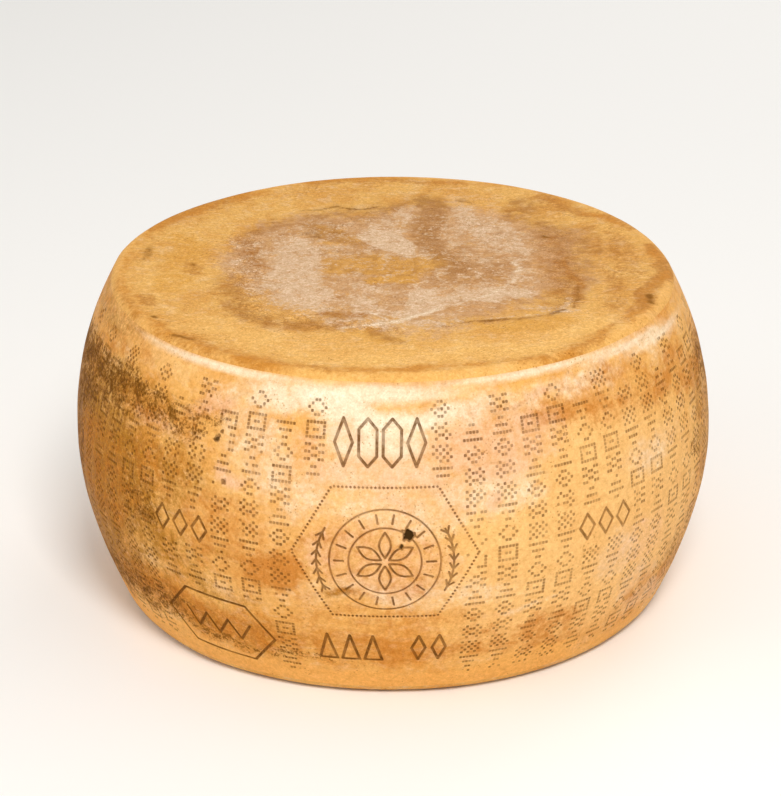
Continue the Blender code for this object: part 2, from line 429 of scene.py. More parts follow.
def worked_patches():
    """Finely divided cells under the marks and pits, and the cells that join them to the plain ones."""
    faces = []
    columns, rows = np.nonzero(fine)
    for a in range(FINE_CELLS):
        for b in range(FINE_CELLS):
            x, y = columns * FINE_CELLS + a, rows * FINE_CELLS + b
            faces.append(np.stack([x, y, x, y + 1, x + 1, y + 1, x + 1, y], 1).reshape(-1, 4, 2))
    quads = np.concatenate(faces)
    corners, index = np.unique(quads.reshape(-1, 2), axis=0, return_inverse=True)
    lookup = {tuple(corner): k for k, corner in enumerate(corners)}
    polygons = index.reshape(-1, 4).tolist()
    corners = corners.tolist()

    def corner_of(place):
        if place not in lookup:
            lookup[place] = len(corners)
            corners.append(place)
        return lookup[place]

    n = FINE_CELLS
    for column, row in np.argwhere(bridge):
        x, y = column * n, row * n
        sides = (
            ((column - 1) % AROUND, row, [(x, y + k) for k in range(n + 1)]),
            (column, row + 1, [(x + k, y + n) for k in range(n + 1)]),
            ((column + 1) % AROUND, row, [(x + n, y + n - k) for k in range(n + 1)]),
            (column, row - 1, [(x + n - k, y) for k in range(n + 1)]),
        )
        loop = []
        for next_column, next_row, edge in sides:
            split = 0 <= next_row < ROWS and fine[next_column, next_row]
            loop += edge[:-1] if split else edge[:1]
        middle = corner_of((x + n / 2, y + n / 2))
        ring = [corner_of(place) for place in loop]
        polygons += [(middle, a, b) for a, b in zip(ring, ring[1:] + ring[:1])]
    spots = np.array(corners, float) / n
    flat = np.stack([(spots[:, 0] - AROUND / 2) * CELL, -spots[:, 1] * ROW], 1)
    depth, dark = pressed_in(flat)
    made = flat_object("worked_patches", np.column_stack([flat, -depth]), polygons)
    store(made.data, "pressed", dark)
    return made


patches = worked_patches()
section_curve = bpy.data.curves.new("half_section", "CURVE")
section_curve.dimensions = "3D"
section_line = section_curve.splines.new("POLY")
section_line.points.add(SECTION_POINTS - 1)
for point, radius, z in zip(section_line.points, section_r, section_z):
    point.co = (radius, 0.0, z, 1.0)
half_section = bpy.data.objects.new("half_section", section_curve)
bpy.context.scene.collection.objects.link(half_section)


def node(tree, kind, inputs=None, **settings):
    """Adds a node, sets its properties, and fills its inputs with values or with other nodes' outputs."""
    made = tree.nodes.new(kind)
    for name, value in settings.items():
        setattr(made, name, value)
    for key, value in (inputs or {}).items():
        if isinstance(value, bpy.types.NodeSocket):
            tree.links.new(value, made.inputs[key])
        else:
            made.inputs[key].default_value = value
    return made


def maths(tree, operation, *values, clamp=False):
    """Adds a maths node and returns its result."""
    made = node(tree, "ShaderNodeMath", dict(enumerate(values)), operation=operation, use_clamp=clamp)
    return made.outputs[0]


def joined(tree, *parts):
    """Joins geometry."""
    made = tree.nodes.new("GeometryNodeJoinGeometry")
    for part in parts:
        tree.links.new(part, made.inputs[0])
    return made.outputs[0]


def stored(tree, geometry, name, value):
    """Stores a number on a geometry's points."""
    made = node(tree, "GeometryNodeStoreNamedAttribute", {"Geometry": geometry, "Name": name, "Value": value},
                data_type="FLOAT", domain="POINT")
    return made.outputs[0]


def read_number(tree, name):
    """Reads a number from a geometry's points."""
    made = node(tree, "GeometryNodeInputNamedAttribute", {"Name": name}, data_type="FLOAT")
    return made.outputs["Attribute"]


RIND_INPUTS = (
    ("Geometry", "NodeSocketGeometry"),
    ("Worked Patches", "NodeSocketObject"),
    ("Half Section", "NodeSocketObject"),
    ("Cell Width", "NodeSocketFloat"),
    ("Cell Height", "NodeSocketFloat"),
    ("Needle Radius", "NodeSocketFloat"),
    ("Needle Depth", "NodeSocketFloat"),
    ("Belly Radius", "NodeSocketFloat"),
    ("Weld Distance", "NodeSocketFloat"),
    ("Rind", "NodeSocketMaterial"),
)
NEEDLE_SIDES = 8


def needle_band_tree():
    """Lays a pricked or plain tile in each cell, adds the worked patches, and wraps all round the wheel."""
    tree = bpy.data.node_groups.new("needle_band", "GeometryNodeTree")
    for name, kind in RIND_INPUTS:
        tree.interface.new_socket(name, in_out="INPUT", socket_type=kind)
    tree.interface.new_socket("Geometry", in_out="OUTPUT", socket_type="NodeSocketGeometry")
    given = tree.nodes.new("NodeGroupInput").outputs
    radius = given["Needle Radius"]

    outline = node(tree, "GeometryNodeCurvePrimitiveQuadrilateral",
                   {"Width": given["Cell Width"], "Height": given["Cell Height"]}).outputs[0]
    hole = node(tree, "GeometryNodeCurvePrimitiveCircle", {"Resolution": NEEDLE_SIDES, "Radius": radius}).outputs[0]
    plate = node(tree, "GeometryNodeFillCurve", {"Curve": joined(tree, outline, hole)}, mode="TRIANGLES").outputs[0]
    cone = node(tree, "GeometryNodeMeshCircle", {"Vertices": NEEDLE_SIDES, "Radius": radius},
                fill_type="TRIANGLE_FAN").outputs[0]
    place = node(tree, "GeometryNodeInputPosition").outputs[0]
    far = node(tree, "ShaderNodeVectorMath", {0: place}, operation="LENGTH").outputs["Value"]
    at_tip = maths(tree, "LESS_THAN", far, maths(tree, "MULTIPLY", radius, 0.5))
    sink = node(tree, "ShaderNodeCombineXYZ", {"Z": maths(tree, "MULTIPLY", given["Needle Depth"], -1.0)}).outputs[0]
    cone = node(tree, "GeometryNodeSetPosition", {"Geometry": cone, "Selection": at_tip, "Offset": sink}).outputs[0]
    # Painted darkness in each prick, strongest at the needle's tip: partly the pricked rind's own darker colour,
    # partly painted shade in the hole.
    darkness = maths(tree, "SUBTRACT", 1.0, maths(tree, "DIVIDE", far, maths(tree, "MULTIPLY", radius, 2.4)),
                     clamp=True)
    pricked = stored(tree, joined(tree, plate, cone), "tile_dark", darkness)
    pricked = node(tree, "GeometryNodeMergeByDistance",
                   {"Geometry": pricked, "Distance": given["Weld Distance"]}).outputs[0]
    plain = node(tree, "GeometryNodeMeshGrid", {"Size X": given["Cell Width"], "Size Y": given["Cell Height"],
                                                "Vertices X": 2, "Vertices Y": 2}).outputs["Mesh"]

    needle_share = read_number(tree, "needle")
    is_pricked = node(tree, "FunctionNodeCompare", {0: needle_share, 1: 0.0}, data_type="FLOAT",
                      operation="GREATER_THAN").outputs[0]
    is_plain = node(tree, "FunctionNodeBooleanMath", {0: is_pricked}, operation="NOT").outputs[0]
    size = node(tree, "ShaderNodeCombineXYZ", {"X": 1.0, "Y": 1.0, "Z": needle_share}).outputs[0]
    pricks = node(tree, "GeometryNodeInstanceOnPoints", {"Points": given["Geometry"], "Selection": is_pricked,
                                                         "Instance": pricked, "Scale": size}).outputs[0]
    plains = node(tree, "GeometryNodeInstanceOnPoints", {"Points": given["Geometry"], "Selection": is_plain,
                                                         "Instance": plain}).outputs[0]
    band = node(tree, "GeometryNodeRealizeInstances", {"Geometry": joined(tree, pricks, plains)}).outputs[0]
    tile_dark = maths(tree, "MULTIPLY", read_number(tree, "tile_dark"), read_number(tree, "needle"))
    band = stored(tree, band, "pressed", tile_dark)
    worked = node(tree, "GeometryNodeObjectInfo", {"Object": given["Worked Patches"]}).outputs["Geometry"]
    flat = joined(tree, band, worked)

    spread = node(tree, "ShaderNodeSeparateXYZ", {0: place}).outputs
    section = node(tree, "GeometryNodeObjectInfo", {"Object": given["Half Section"]}).outputs["Geometry"]
    down = maths(tree, "MULTIPLY", spread["Y"], -1.0)
    sample = node(tree, "GeometryNodeSampleCurve", {"Curves": section, "Length": down}, mode="LENGTH",
                  data_type="FLOAT_VECTOR", use_all_curves=True).outputs
    slope = node(tree, "ShaderNodeSeparateXYZ", {0: sample["Tangent"]}).outputs
    outward = node(tree, "ShaderNodeCombineXYZ", {"X": maths(tree, "MULTIPLY", slope["Z"], -1.0),
                                                  "Z": slope["X"]}).outputs[0]
    lift = node(tree, "ShaderNodeVectorMath", {0: outward, "Scale": spread["Z"]}, operation="SCALE").outputs[0]
    standing = node(tree, "ShaderNodeVectorMath", {0: sample["Position"], 1: lift}, operation="ADD").outputs[0]
    turn = maths(tree, "SUBTRACT", maths(tree, "DIVIDE", spread["X"], given["Belly Radius"]), pi / 2)
    wrapped = node(tree, "ShaderNodeVectorRotate", {"Vector": standing, "Angle": turn},
                   rotation_type="Z_AXIS").outputs[0]
    skin = node(tree, "GeometryNodeSetPosition", {"Geometry": flat, "Position": wrapped}).outputs[0]
    skin = node(tree, "GeometryNodeMergeByDistance",
                {"Geometry": skin, "Distance": given["Weld Distance"]}).outputs[0]
    skin = node(tree, "GeometryNodeSetMaterial", {"Geometry": skin, "Material": given["Rind"]}).outputs[0]
    tree.links.new(skin, tree.nodes.new("NodeGroupOutput").inputs[0])
    return tree


side_rind = bpy.data.materials.new("side_rind")
side_rind.use_nodes = True
band = cells.modifiers.new("needle_band", "NODES")
band.node_group = needle_band_tree()
band_values = {
    "Worked Patches": patches,
    "Half Section": half_section,
    "Cell Width": CELL,
    "Cell Height": ROW,
    "Needle Radius": PRICK_RADIUS,
    "Needle Depth": PRICK_DEPTH,
    "Belly Radius": BELLY_RADIUS,
    "Weld Distance": 0.00003,
    "Rind": side_rind,
}
for item in band.node_group.interface.items_tree:
    if item.in_out == "INPUT" and item.name in band_values:
        band[item.identifier] = band_values[item.name]
bpy.context.view_layer.update()
skin = bpy.data.meshes.new_from_object(cells.evaluated_get(bpy.context.evaluated_depsgraph_get()))
cells.modifiers.clear()
for helper in (cells, patches, half_section):
    bpy.data.objects.remove(helper)


def points_of(mesh):
    """The points of a mesh as an array."""
    points = np.empty(len(mesh.vertices) * 3, np.float32)
    mesh.vertices.foreach_get("co", points)
    return points.reshape(-1, 3).astype(float)


def numbers_of(mesh, name):
    """The numbers stored on the points of a mesh."""
    values = np.empty(len(mesh.vertices), np.float32)
    mesh.attributes[name].data.foreach_get("value", values)
    return values


def soft_normals(points, faces):
    """Normals that run smoothly over a whole surface, weighted by the area of its faces."""
    normals = np.zeros_like(points)
    for size in {len(face) for face in faces}:
        corners = np.array([face for face in faces if len(face) == size])
        spots = points[corners]
        facing = sum(np.cross(spots[:, k] - spots[:, 0], spots[:, k + 1] - spots[:, 0]) for k in range(1, size - 1))
        for k in range(size):
            np.add.at(normals, corners[:, k], facing)
    return normals / np.maximum(np.linalg.norm(normals, axis=1), 1e-12)[:, None]


def edge_normals(angle, end):
    """Normals on the upper or lower edge of the side, shared with the piece that carries on from it."""
    a, b = (0, 1) if end == "top" else (-2, -1)
    fall, widen = section_z[a] - section_z[b], section_r[b] - section_r[a]
    long = np.hypot(fall, widen)
    across, up = fall / long, widen / long
    return np.stack([across * np.sin(angle), -across * np.cos(angle), np.full_like(angle, up)], 1)


MAP_MARGIN = 0.01


def shape_piece(name, points, faces, normals, spread, numbers, material):
    """Makes one finished piece, with a flat map of its own and its stored numbers."""
    mesh = bpy.data.meshes.new(name)
    mesh.from_pydata(points, [], faces)
    for key, values in numbers.items():
        store(mesh, key, values)
    low, high = spread.min(0), spread.max(0)
    corner = np.empty(len(mesh.loops), np.int32)
    mesh.loops.foreach_get("vertex_index", corner)
    flat_map = mesh.uv_layers.new(name="OFBake")
    share = MAP_MARGIN + (1 - 2 * MAP_MARGIN) * (spread - low) / (high - low)
    flat_map.data.foreach_set("uv", share[corner].astype(np.float32).ravel())
    mesh.shade_smooth()
    mesh.normals_split_custom_set_from_vertices(normals)
    mesh.materials.append(material)
    made = bpy.data.objects.new(name, mesh)
    bpy.context.scene.collection.objects.link(made)
    return made


# Colour comes to the rind with age, in soft patches: cream where it was wiped, rose and ochre where
# it dried, brown where mould grew. The cream high on the shoulder is partly a painted highlight, and
# the thin bright lines along the shoulder are painted highlights. Each row is angle, height in mm,
# half width in degrees, half height in mm and strength. The far side has patches of the same kinds.
STAINS = {
    # Cream: pale wiped rind, and high on the front shoulder partly a painted highlight.
    "cream_and_highlight": (
        (-3, 206, 22, 9, 1.0), (32, 207, 12, 7, 0.6), (-15, 152, 7, 16, 0.35),
        (-2, 190, 9, 16, 0.75), (-2, 167, 14, 11, 0.45), (2, 147, 14, 12, 0.35), (16, 160, 10, 16, 0.45),
        (2, 86, 18, 10, 0.4), (52, 150, 6, 12, 0.3), (24, 68, 6, 2.5, 0.36),
        (-45, 72, 6, 4, 0.22), (-24, 176, 6, 22, 0.4), (60, 215, 10, 6, 0.5),
        (150, 216, 30, 7, 0.8), (-140, 208, 26, 10, 0.7), (168, 120, 16, 40, 0.45), (-100, 90, 9, 24, 0.4),
    ),
    "rose": (
        (18, 184, 14, 17, 0.75), (-30.5, 195, 4, 7, 0.8), (-6, 191, 6, 5, 0.5), (16.5, 156, 1.3, 9, 0.8),
        (-29.5, 156, 1.8, 4, 0.8), (26, 206, 2.2, 4, 0.8), (-44, 178, 5, 6, 0.5), (6, 152, 12, 6, 0.4),
        (-14, 182, 4, 8, 0.5), (-2, 168, 15, 13, 0.55), (49, 92, 7, 20, 0.35), (-2, 113, 13, 30, 0.4),
        (128, 176, 12, 12, 0.7), (-158, 186, 9, 13, 0.6), (172, 60, 8, 14, 0.45),
    ),
    "ochre": (
        (0, 228, 70, 2.4, 0.45), (150, 228, 60, 2.4, 0.45), (-120, 227, 40, 3, 0.5),
        (33, 193, 7, 8, 0.8), (46, 190, 8, 7, 0.68), (60, 193, 10, 9, 0.8), (70, 180, 8, 14, 0.6),
        (40, 204, 22, 5, 0.42), (-20.5, 106, 6, 16, 0.92), (-23, 118, 8, 7, 0.6), (-12, 123, 6, 3, 0.5), (-28, 98, 5, 10, 0.45), (-30, 124, 8, 26, 0.46), (-44, 150, 8, 18, 0.35),
        (0, 47, 18, 11, 0.62), (-12, 42, 8, 10, 0.4), (27, 42, 8, 14, 0.6), (30, 24, 7, 8, 0.6),
        (-36, 50, 26, 15, 0.62), (56, 40, 9, 12, 0.4), (-8, 83, 7, 3, 0.5), (-62, 120, 16, 30, 0.45), (-2, 66, 18, 8, 0.36), (-2, 108, 12, 26, 0.32),
        (-14, 19, 26, 4, 0.34), (24, 15, 9, 5, 0.32), (-52, 17, 14, 4, 0.34), (6, 9, 22, 3, 0.3),
        (-62, 211, 14, 8, 0.5), (16, 50, 4, 16, 0.4), (-38, 188, 8, 9, 0.5), (-48, 184, 8, 10, 0.5),
        (100, 190, 12, 10, 0.7), (140, 60, 18, 16, 0.6), (-170, 48, 22, 12, 0.6), (-125, 190, 14, 9, 0.6),
        (-98, 60, 16, 20, 0.55), (158, 150, 6, 20, 0.5), (-140, 120, 8, 22, 0.5), (112, 100, 7, 18, 0.45),
    ),
    "mould": (
        (-73, 190, 13, 14, 0.78), (-70, 189, 9, 7, 1.0), (-79, 188, 7, 8, 1.0), (-61, 183, 6, 5, 0.9), (-58, 191, 12, 10, 0.70), (-47, 190, 10, 9, 0.44), (-38, 184, 7, 8, 0.33),
        (-74, 165, 10, 16, 0.62), (-64, 176, 10, 9, 0.5), (-50, 44, 14, 10, 0.5), (-66, 42, 12, 14, 0.62),
        (-34, 34, 18, 4, 0.42), (-46.5, 119, 3.4, 6, 0.5), (-49, 112, 3, 4, 0.42),
        (68, 135, 1.6, 5, 0.6), (-80, 120, 8, 40, 0.42), (84, 180, 9, 18, 0.4),
        (-90, 187, 15, 14, 0.75), (-108, 192, 10, 9, 0.55), (-85, 48, 14, 16, 0.5),
        (132, 196, 12, 7, 0.6), (178, 190, 16, 9, 0.55), (120, 38, 12, 10, 0.5), (-150, 70, 5, 9, 0.45),
    ),
    "olive": (
        (-58, 128, 16, 44, 0.82), (-71, 112, 18, 74, 0.95), (-66, 186, 20, 16, 0.7),  (-42, 150, 8, 26, 0.5), (-45, 90, 12, 24, 0.5),
        (-72, 222, 16, 7, 0.5), (-8.5, 82, 2.4, 3, 0.9), (-29.5, 106, 3.5, 3, 0.5), (-36, 50, 16, 12, 0.45),
        (78, 140, 9, 60, 0.5), (68, 60, 10, 30, 0.4), (-60, 60, 18, 30, 0.6), (-34, 76, 8, 8, 0.4),
        (-95, 125, 20, 70, 0.75), (-128, 150, 12, 30, 0.5), (118, 130, 10, 36, 0.5), (176, 96, 10, 26, 0.5),
    ),
    "haze": (
        (43, 86, 6, 20, 0.42), (-29, 80, 3, 5, 0.4), (50, 56, 6, 14, 0.4),
        (52, 152, 6, 10, 0.3), (58, 30, 9, 12, 0.55),
        (146, 104, 8, 24, 0.5), (-165, 150, 7, 18, 0.45),
    ),
    "pale": (
        (36, 110, 30, 84, 1.0), (-4, 130, 30, 60, 0.5), (-40, 224, 26, 9, 0.8),
        (160, 120, 30, 80, 0.8), (-150, 100, 16, 60, 0.6),
    ),
    # Painted highlight: thin bright lines along the shoulder where the light glints on the rind.
    "painted_highlight": (
        (-34, 223.5, 17, 2.0, 1.0), (-4, 219, 15, 5, 1.0), (28, 224, 18, 2.2, 0.9), (50, 221, 10, 2.0, 0.85),
        (64, 216, 10, 2.4, 0.7),
        (140, 217, 26, 2.0, 0.7), (-150, 219, 30, 2.2, 0.7),
    ),
    "foot": (
        (-34, 12, 34, 14, 0.95), (10, 12, 30, 15, 0.95), (-75, 12, 18, 12, 0.7), (50, 6, 16, 8, 0.7),
        (100, 12, 30, 12, 0.85), (160, 12, 34, 13, 0.95), (-130, 12, 34, 12, 0.9),
    ),
}
STAIN_WANDER = ((0.060, 0.012), (0.018, 0.005))
EDGE_WIDTHS = {"pale": 60, "cream_and_highlight": 16, "rose": 14, "ochre": 16, "mould": 14, "olive": 30, "haze": 16, "painted_highlight": 8, "foot": 7}
MM_PER_DEGREE = 1000 * BELLY_RADIUS * radians(1)


def wandered(points):
    """Moves places a little to and fro, so that a patch read at them has a natural outline."""
    moved = points.copy()
    for length, reach in STAIN_WANDER:
        moved += reach * np.array([noise.noise_vector(Vector(place)) for place in points / length])
    return moved


def side_stain(angle, z, rows, edge):
    """Strength of one kind of patch on the side, from 0 to 1, with edges about so many mm wide."""
    found = np.zeros_like(z)
    for middle, height, half_angle, half_height, strength in rows:
        turn = (np.degrees(angle) - middle + 180) % 360 - 180
        far = np.hypot(turn / half_angle, (z * 1000 - height) / half_height)
        size = min(half_height, half_angle * MM_PER_DEGREE)
        share = np.clip(0.5 + (1 - far) * size / min(edge, 2 * size), 0, 1)
        found = np.maximum(found, strength * share * share * (3 - 2 * share))
    return found


def shader_value(tree, name):
    """Reads a stored number in a shader."""
    return node(tree, "ShaderNodeAttribute", attribute_name=name, attribute_type="GEOMETRY").outputs["Fac"]


def mixed(tree, share, first, second, blend="MIX"):
    """Mixes two colours, given as sockets or as values."""
    made = node(tree, "ShaderNodeMix", data_type="RGBA", blend_type=blend, clamp_factor=True)
    colours = [socket for socket in made.inputs if socket.type == "RGBA"]
    for socket, value in zip((made.inputs[0], *colours), (share, first, second)):
        if isinstance(value, bpy.types.NodeSocket):
            tree.links.new(value, socket)
        else:
            socket.default_value = value if isinstance(value, float) else (*value, 1.0)
    return [socket for socket in made.outputs if socket.type == "RGBA"][0]


def mapped(tree, value, low, high, out_low=0.0, out_high=1.0, smooth=True):
    """Maps a number from one range to another."""
    return node(tree, "ShaderNodeMapRange", {"Value": value, "From Min": low, "From Max": high, "To Min": out_low,
                                             "To Max": out_high},
                interpolation_type="SMOOTHSTEP" if smooth else "LINEAR").outputs["Result"]


def shader_group(name, inputs, outputs):
    """Starts a shader group with named inputs, each with its usual value, and named outputs."""
    tree = bpy.data.node_groups.new(name, "ShaderNodeTree")
    for label, usual in inputs.items():
        kind = "NodeSocketVector" if isinstance(usual, tuple) else "NodeSocketFloat"
        tree.interface.new_socket(label, in_out="INPUT", socket_type=kind).default_value = usual
    for label in outputs:
        tree.interface.new_socket(label, in_out="OUTPUT", socket_type="NodeSocketFloat")
    return tree, tree.nodes.new("NodeGroupInput").outputs, tree.nodes.new("NodeGroupOutput").inputs


def noise_at(tree, place, scale, detail=4.0, rough=0.55, warp=0.0):
    """Noise at a place, from 0 to 1."""
    return node(tree, "ShaderNodeTexNoise", {"Vector": place, "Scale": scale, "Detail": detail, "Roughness": rough,
                                             "Distortion": warp}).outputs["Fac"]


def used(tree, group, **values):
    """Places a shader group in a tree and fills its inputs."""
    made = tree.nodes.new("ShaderNodeGroup")
    made.node_tree = group
    for key, value in values.items():
        label = key.replace("_", " ").title()
        if isinstance(value, bpy.types.NodeSocket):
            tree.links.new(value, made.inputs[label])
        else:
            made.inputs[label].default_value = value
    return made.outputs


# Ragged edge: noise eats into a soft patch, so that it ends in flecks as mould and dried rind do.
HALO_SHARE = 0.2
stain_edge, given, out = shader_group(
    "stain_edge", {"Mask": 0.0, "Flecks Per Metre": 260.0, "Raggedness": 0.9, "Softness": 0.5}, ["Mask"])
place = node(stain_edge, "ShaderNodeTexCoord").outputs["Object"]
flecks = noise_at(stain_edge, place, given["Flecks Per Metre"], 5.0, 0.72)
blots = noise_at(stain_edge, place, maths(stain_edge, "MULTIPLY", given["Flecks Per Metre"], 0.25), 4.0, 0.65, 0.5)
both = maths(stain_edge, "SUBTRACT", maths(stain_edge, "ADD", flecks, blots), 1.0)
push = maths(stain_edge, "MULTIPLY", both, given["Raggedness"])
height = maths(stain_edge, "ADD", given["Mask"], push)
half = maths(stain_edge, "MULTIPLY", given["Softness"], 0.5)
edge = mapped(stain_edge, height, maths(stain_edge, "SUBTRACT", 0.5, half), maths(stain_edge, "ADD", 0.5, half))
inside = maths(stain_edge, "MULTIPLY", given["Mask"], 8.0, clamp=True)
ragged = maths(stain_edge, "MULTIPLY", maths(stain_edge, "MULTIPLY", edge, inside), 1 - HALO_SHARE)
stain_edge.links.new(maths(stain_edge, "MULTIPLY_ADD", given["Mask"], HALO_SHARE, ragged), out["Mask"])

# Rind surface: slow mottling, blotches, streaks along one way, fine flecks, grain, dark pinpoints,
# thin wandering cracks, and the height of its orange peel.
rind_surface, given, out = shader_group(
    "rind_surface", {"Mottles Per Metre": 22.0, "Blotches Per Metre": 75.0, "Flecks Per Metre": 210.0,
                     "Grains Per Metre": 900.0, "Pinpoints Per Metre": 420.0, "Streaks Per Metre": 190.0,
                     "Streak Shape": (0.34, 0.34, 1.0), "Cracks Per Metre": 110.0},
    ["Mottle", "Blotches", "Streaks", "Flecks", "Grain", "Pinpoints", "Cracks", "Height"])
place = node(rind_surface, "ShaderNodeTexCoord").outputs["Object"]
mottle = noise_at(rind_surface, place, given["Mottles Per Metre"], 5.0, 0.66, 0.5)
blotches = noise_at(rind_surface, place, given["Blotches Per Metre"], 5.0, 0.6, 0.7)
flat_place = node(rind_surface, "ShaderNodeVectorMath", {0: place, 1: given["Streak Shape"]}, operation="MULTIPLY").outputs[0]
streaks = noise_at(rind_surface, flat_place, given["Streaks Per Metre"], 5.0, 0.65, 0.6)
flecks = noise_at(rind_surface, place, given["Flecks Per Metre"], 5.0, 0.7)
grain = noise_at(rind_surface, place, given["Grains Per Metre"], 3.0, 0.7)
spots = node(rind_surface, "ShaderNodeTexVoronoi", {"Vector": place, "Scale": given["Pinpoints Per Metre"]},
             feature="F1").outputs["Distance"]
sparse = mapped(rind_surface, noise_at(rind_surface, place, 60.0, 3.0), 0.50, 0.64)
pinpoints = maths(rind_surface, "MULTIPLY", mapped(rind_surface, spots, 0.32, 0.12), sparse)
wander = noise_at(rind_surface, place, given["Cracks Per Metre"], 3.0, 0.6, 1.2)
off_line = maths(rind_surface, "ABSOLUTE", maths(rind_surface, "SUBTRACT", wander, 0.5))
cracks = maths(rind_surface, "MULTIPLY", mapped(rind_surface, off_line, 0.045, 0.008), mapped(rind_surface, flecks, 0.38, 0.54))
peel = maths(rind_surface, "MULTIPLY_ADD", grain, 0.35, maths(rind_surface, "MULTIPLY", flecks, 0.65))
height = maths(rind_surface, "SUBTRACT", peel, maths(rind_surface, "MULTIPLY", pinpoints, 0.35))
found = {"Mottle": mottle, "Blotches": blotches, "Streaks": streaks, "Flecks": flecks, "Grain": grain,
         "Pinpoints": pinpoints, "Cracks": cracks, "Height": height}
for label, value in found.items():
    rind_surface.links.new(value, out[label])

# Colours of the side, as linear light shares.
GOLD = (0.83, 0.445, 0.125)
DEEP_GOLD = (0.74, 0.335, 0.068)
PALE_GOLD = (0.90, 0.53, 0.20)
CREAM = (0.95, 0.79, 0.58)
ROSE = (0.83, 0.49, 0.29)
OCHRE = (0.54, 0.175, 0.018)
MOULD = (0.158, 0.056, 0.002)
OLIVE = (0.37, 0.148, 0.006)
HAZE = (0.82, 0.58, 0.38)
FOOT_GOLD = (0.86, 0.435, 0.110)
# Dark browns of pricks, strokes and pits: partly their own darker rind, partly painted shade in the recesses.
PRICK_BROWN_AND_SHADE = (0.150, 0.056, 0.006)
PIT_BROWN_AND_SHADE = (0.050, 0.024, 0.005)
WORN_BROWN = (0.34, 0.138, 0.026)
SIDE_LAYERS = (
    ("pale", PALE_GOLD, 120.0, 0.5, 1.4, 0.80),
    # Cream layer: pale rind, partly a painted highlight on the shoulder.
    ("cream_and_highlight", CREAM, 240.0, 1.1, 1.0, 0.88),
    ("olive", OLIVE, 320.0, 1.9, 1.0, 0.92),
    ("rose", ROSE, 300.0, 1.4, 1.0, 0.85),
    ("ochre", OCHRE, 360.0, 1.8, 1.0, 0.80),
    ("haze", HAZE, 260.0, 1.3, 1.0, 0.70),
    ("foot", FOOT_GOLD, 160.0, 0.8, 0.6, 0.80),
    # Painted highlight along the shoulder, in cream.
    ("painted_highlight", CREAM, 200.0, 0.5, 1.2, 0.85),
    ("mould", MOULD, 560.0, 4.2, 0.8, 0.96),
)
DRY_LAYERS = ("mould", "bloom", "ochre")
GRAIN_TONES = (0.78, 1.20)
PINPOINT_SHADE = 0.30
STREAK_LIFT = 0.14
CRACK_SHARE = 0.85
CLEAN_FADE = 0.86
CALM_GRAIN = 0.50
COARSE_GRAIN = 1.35
TONE_POWERS = (1.0, 1.35, 2.0)
SCRAPE_RELIEF = 0.7


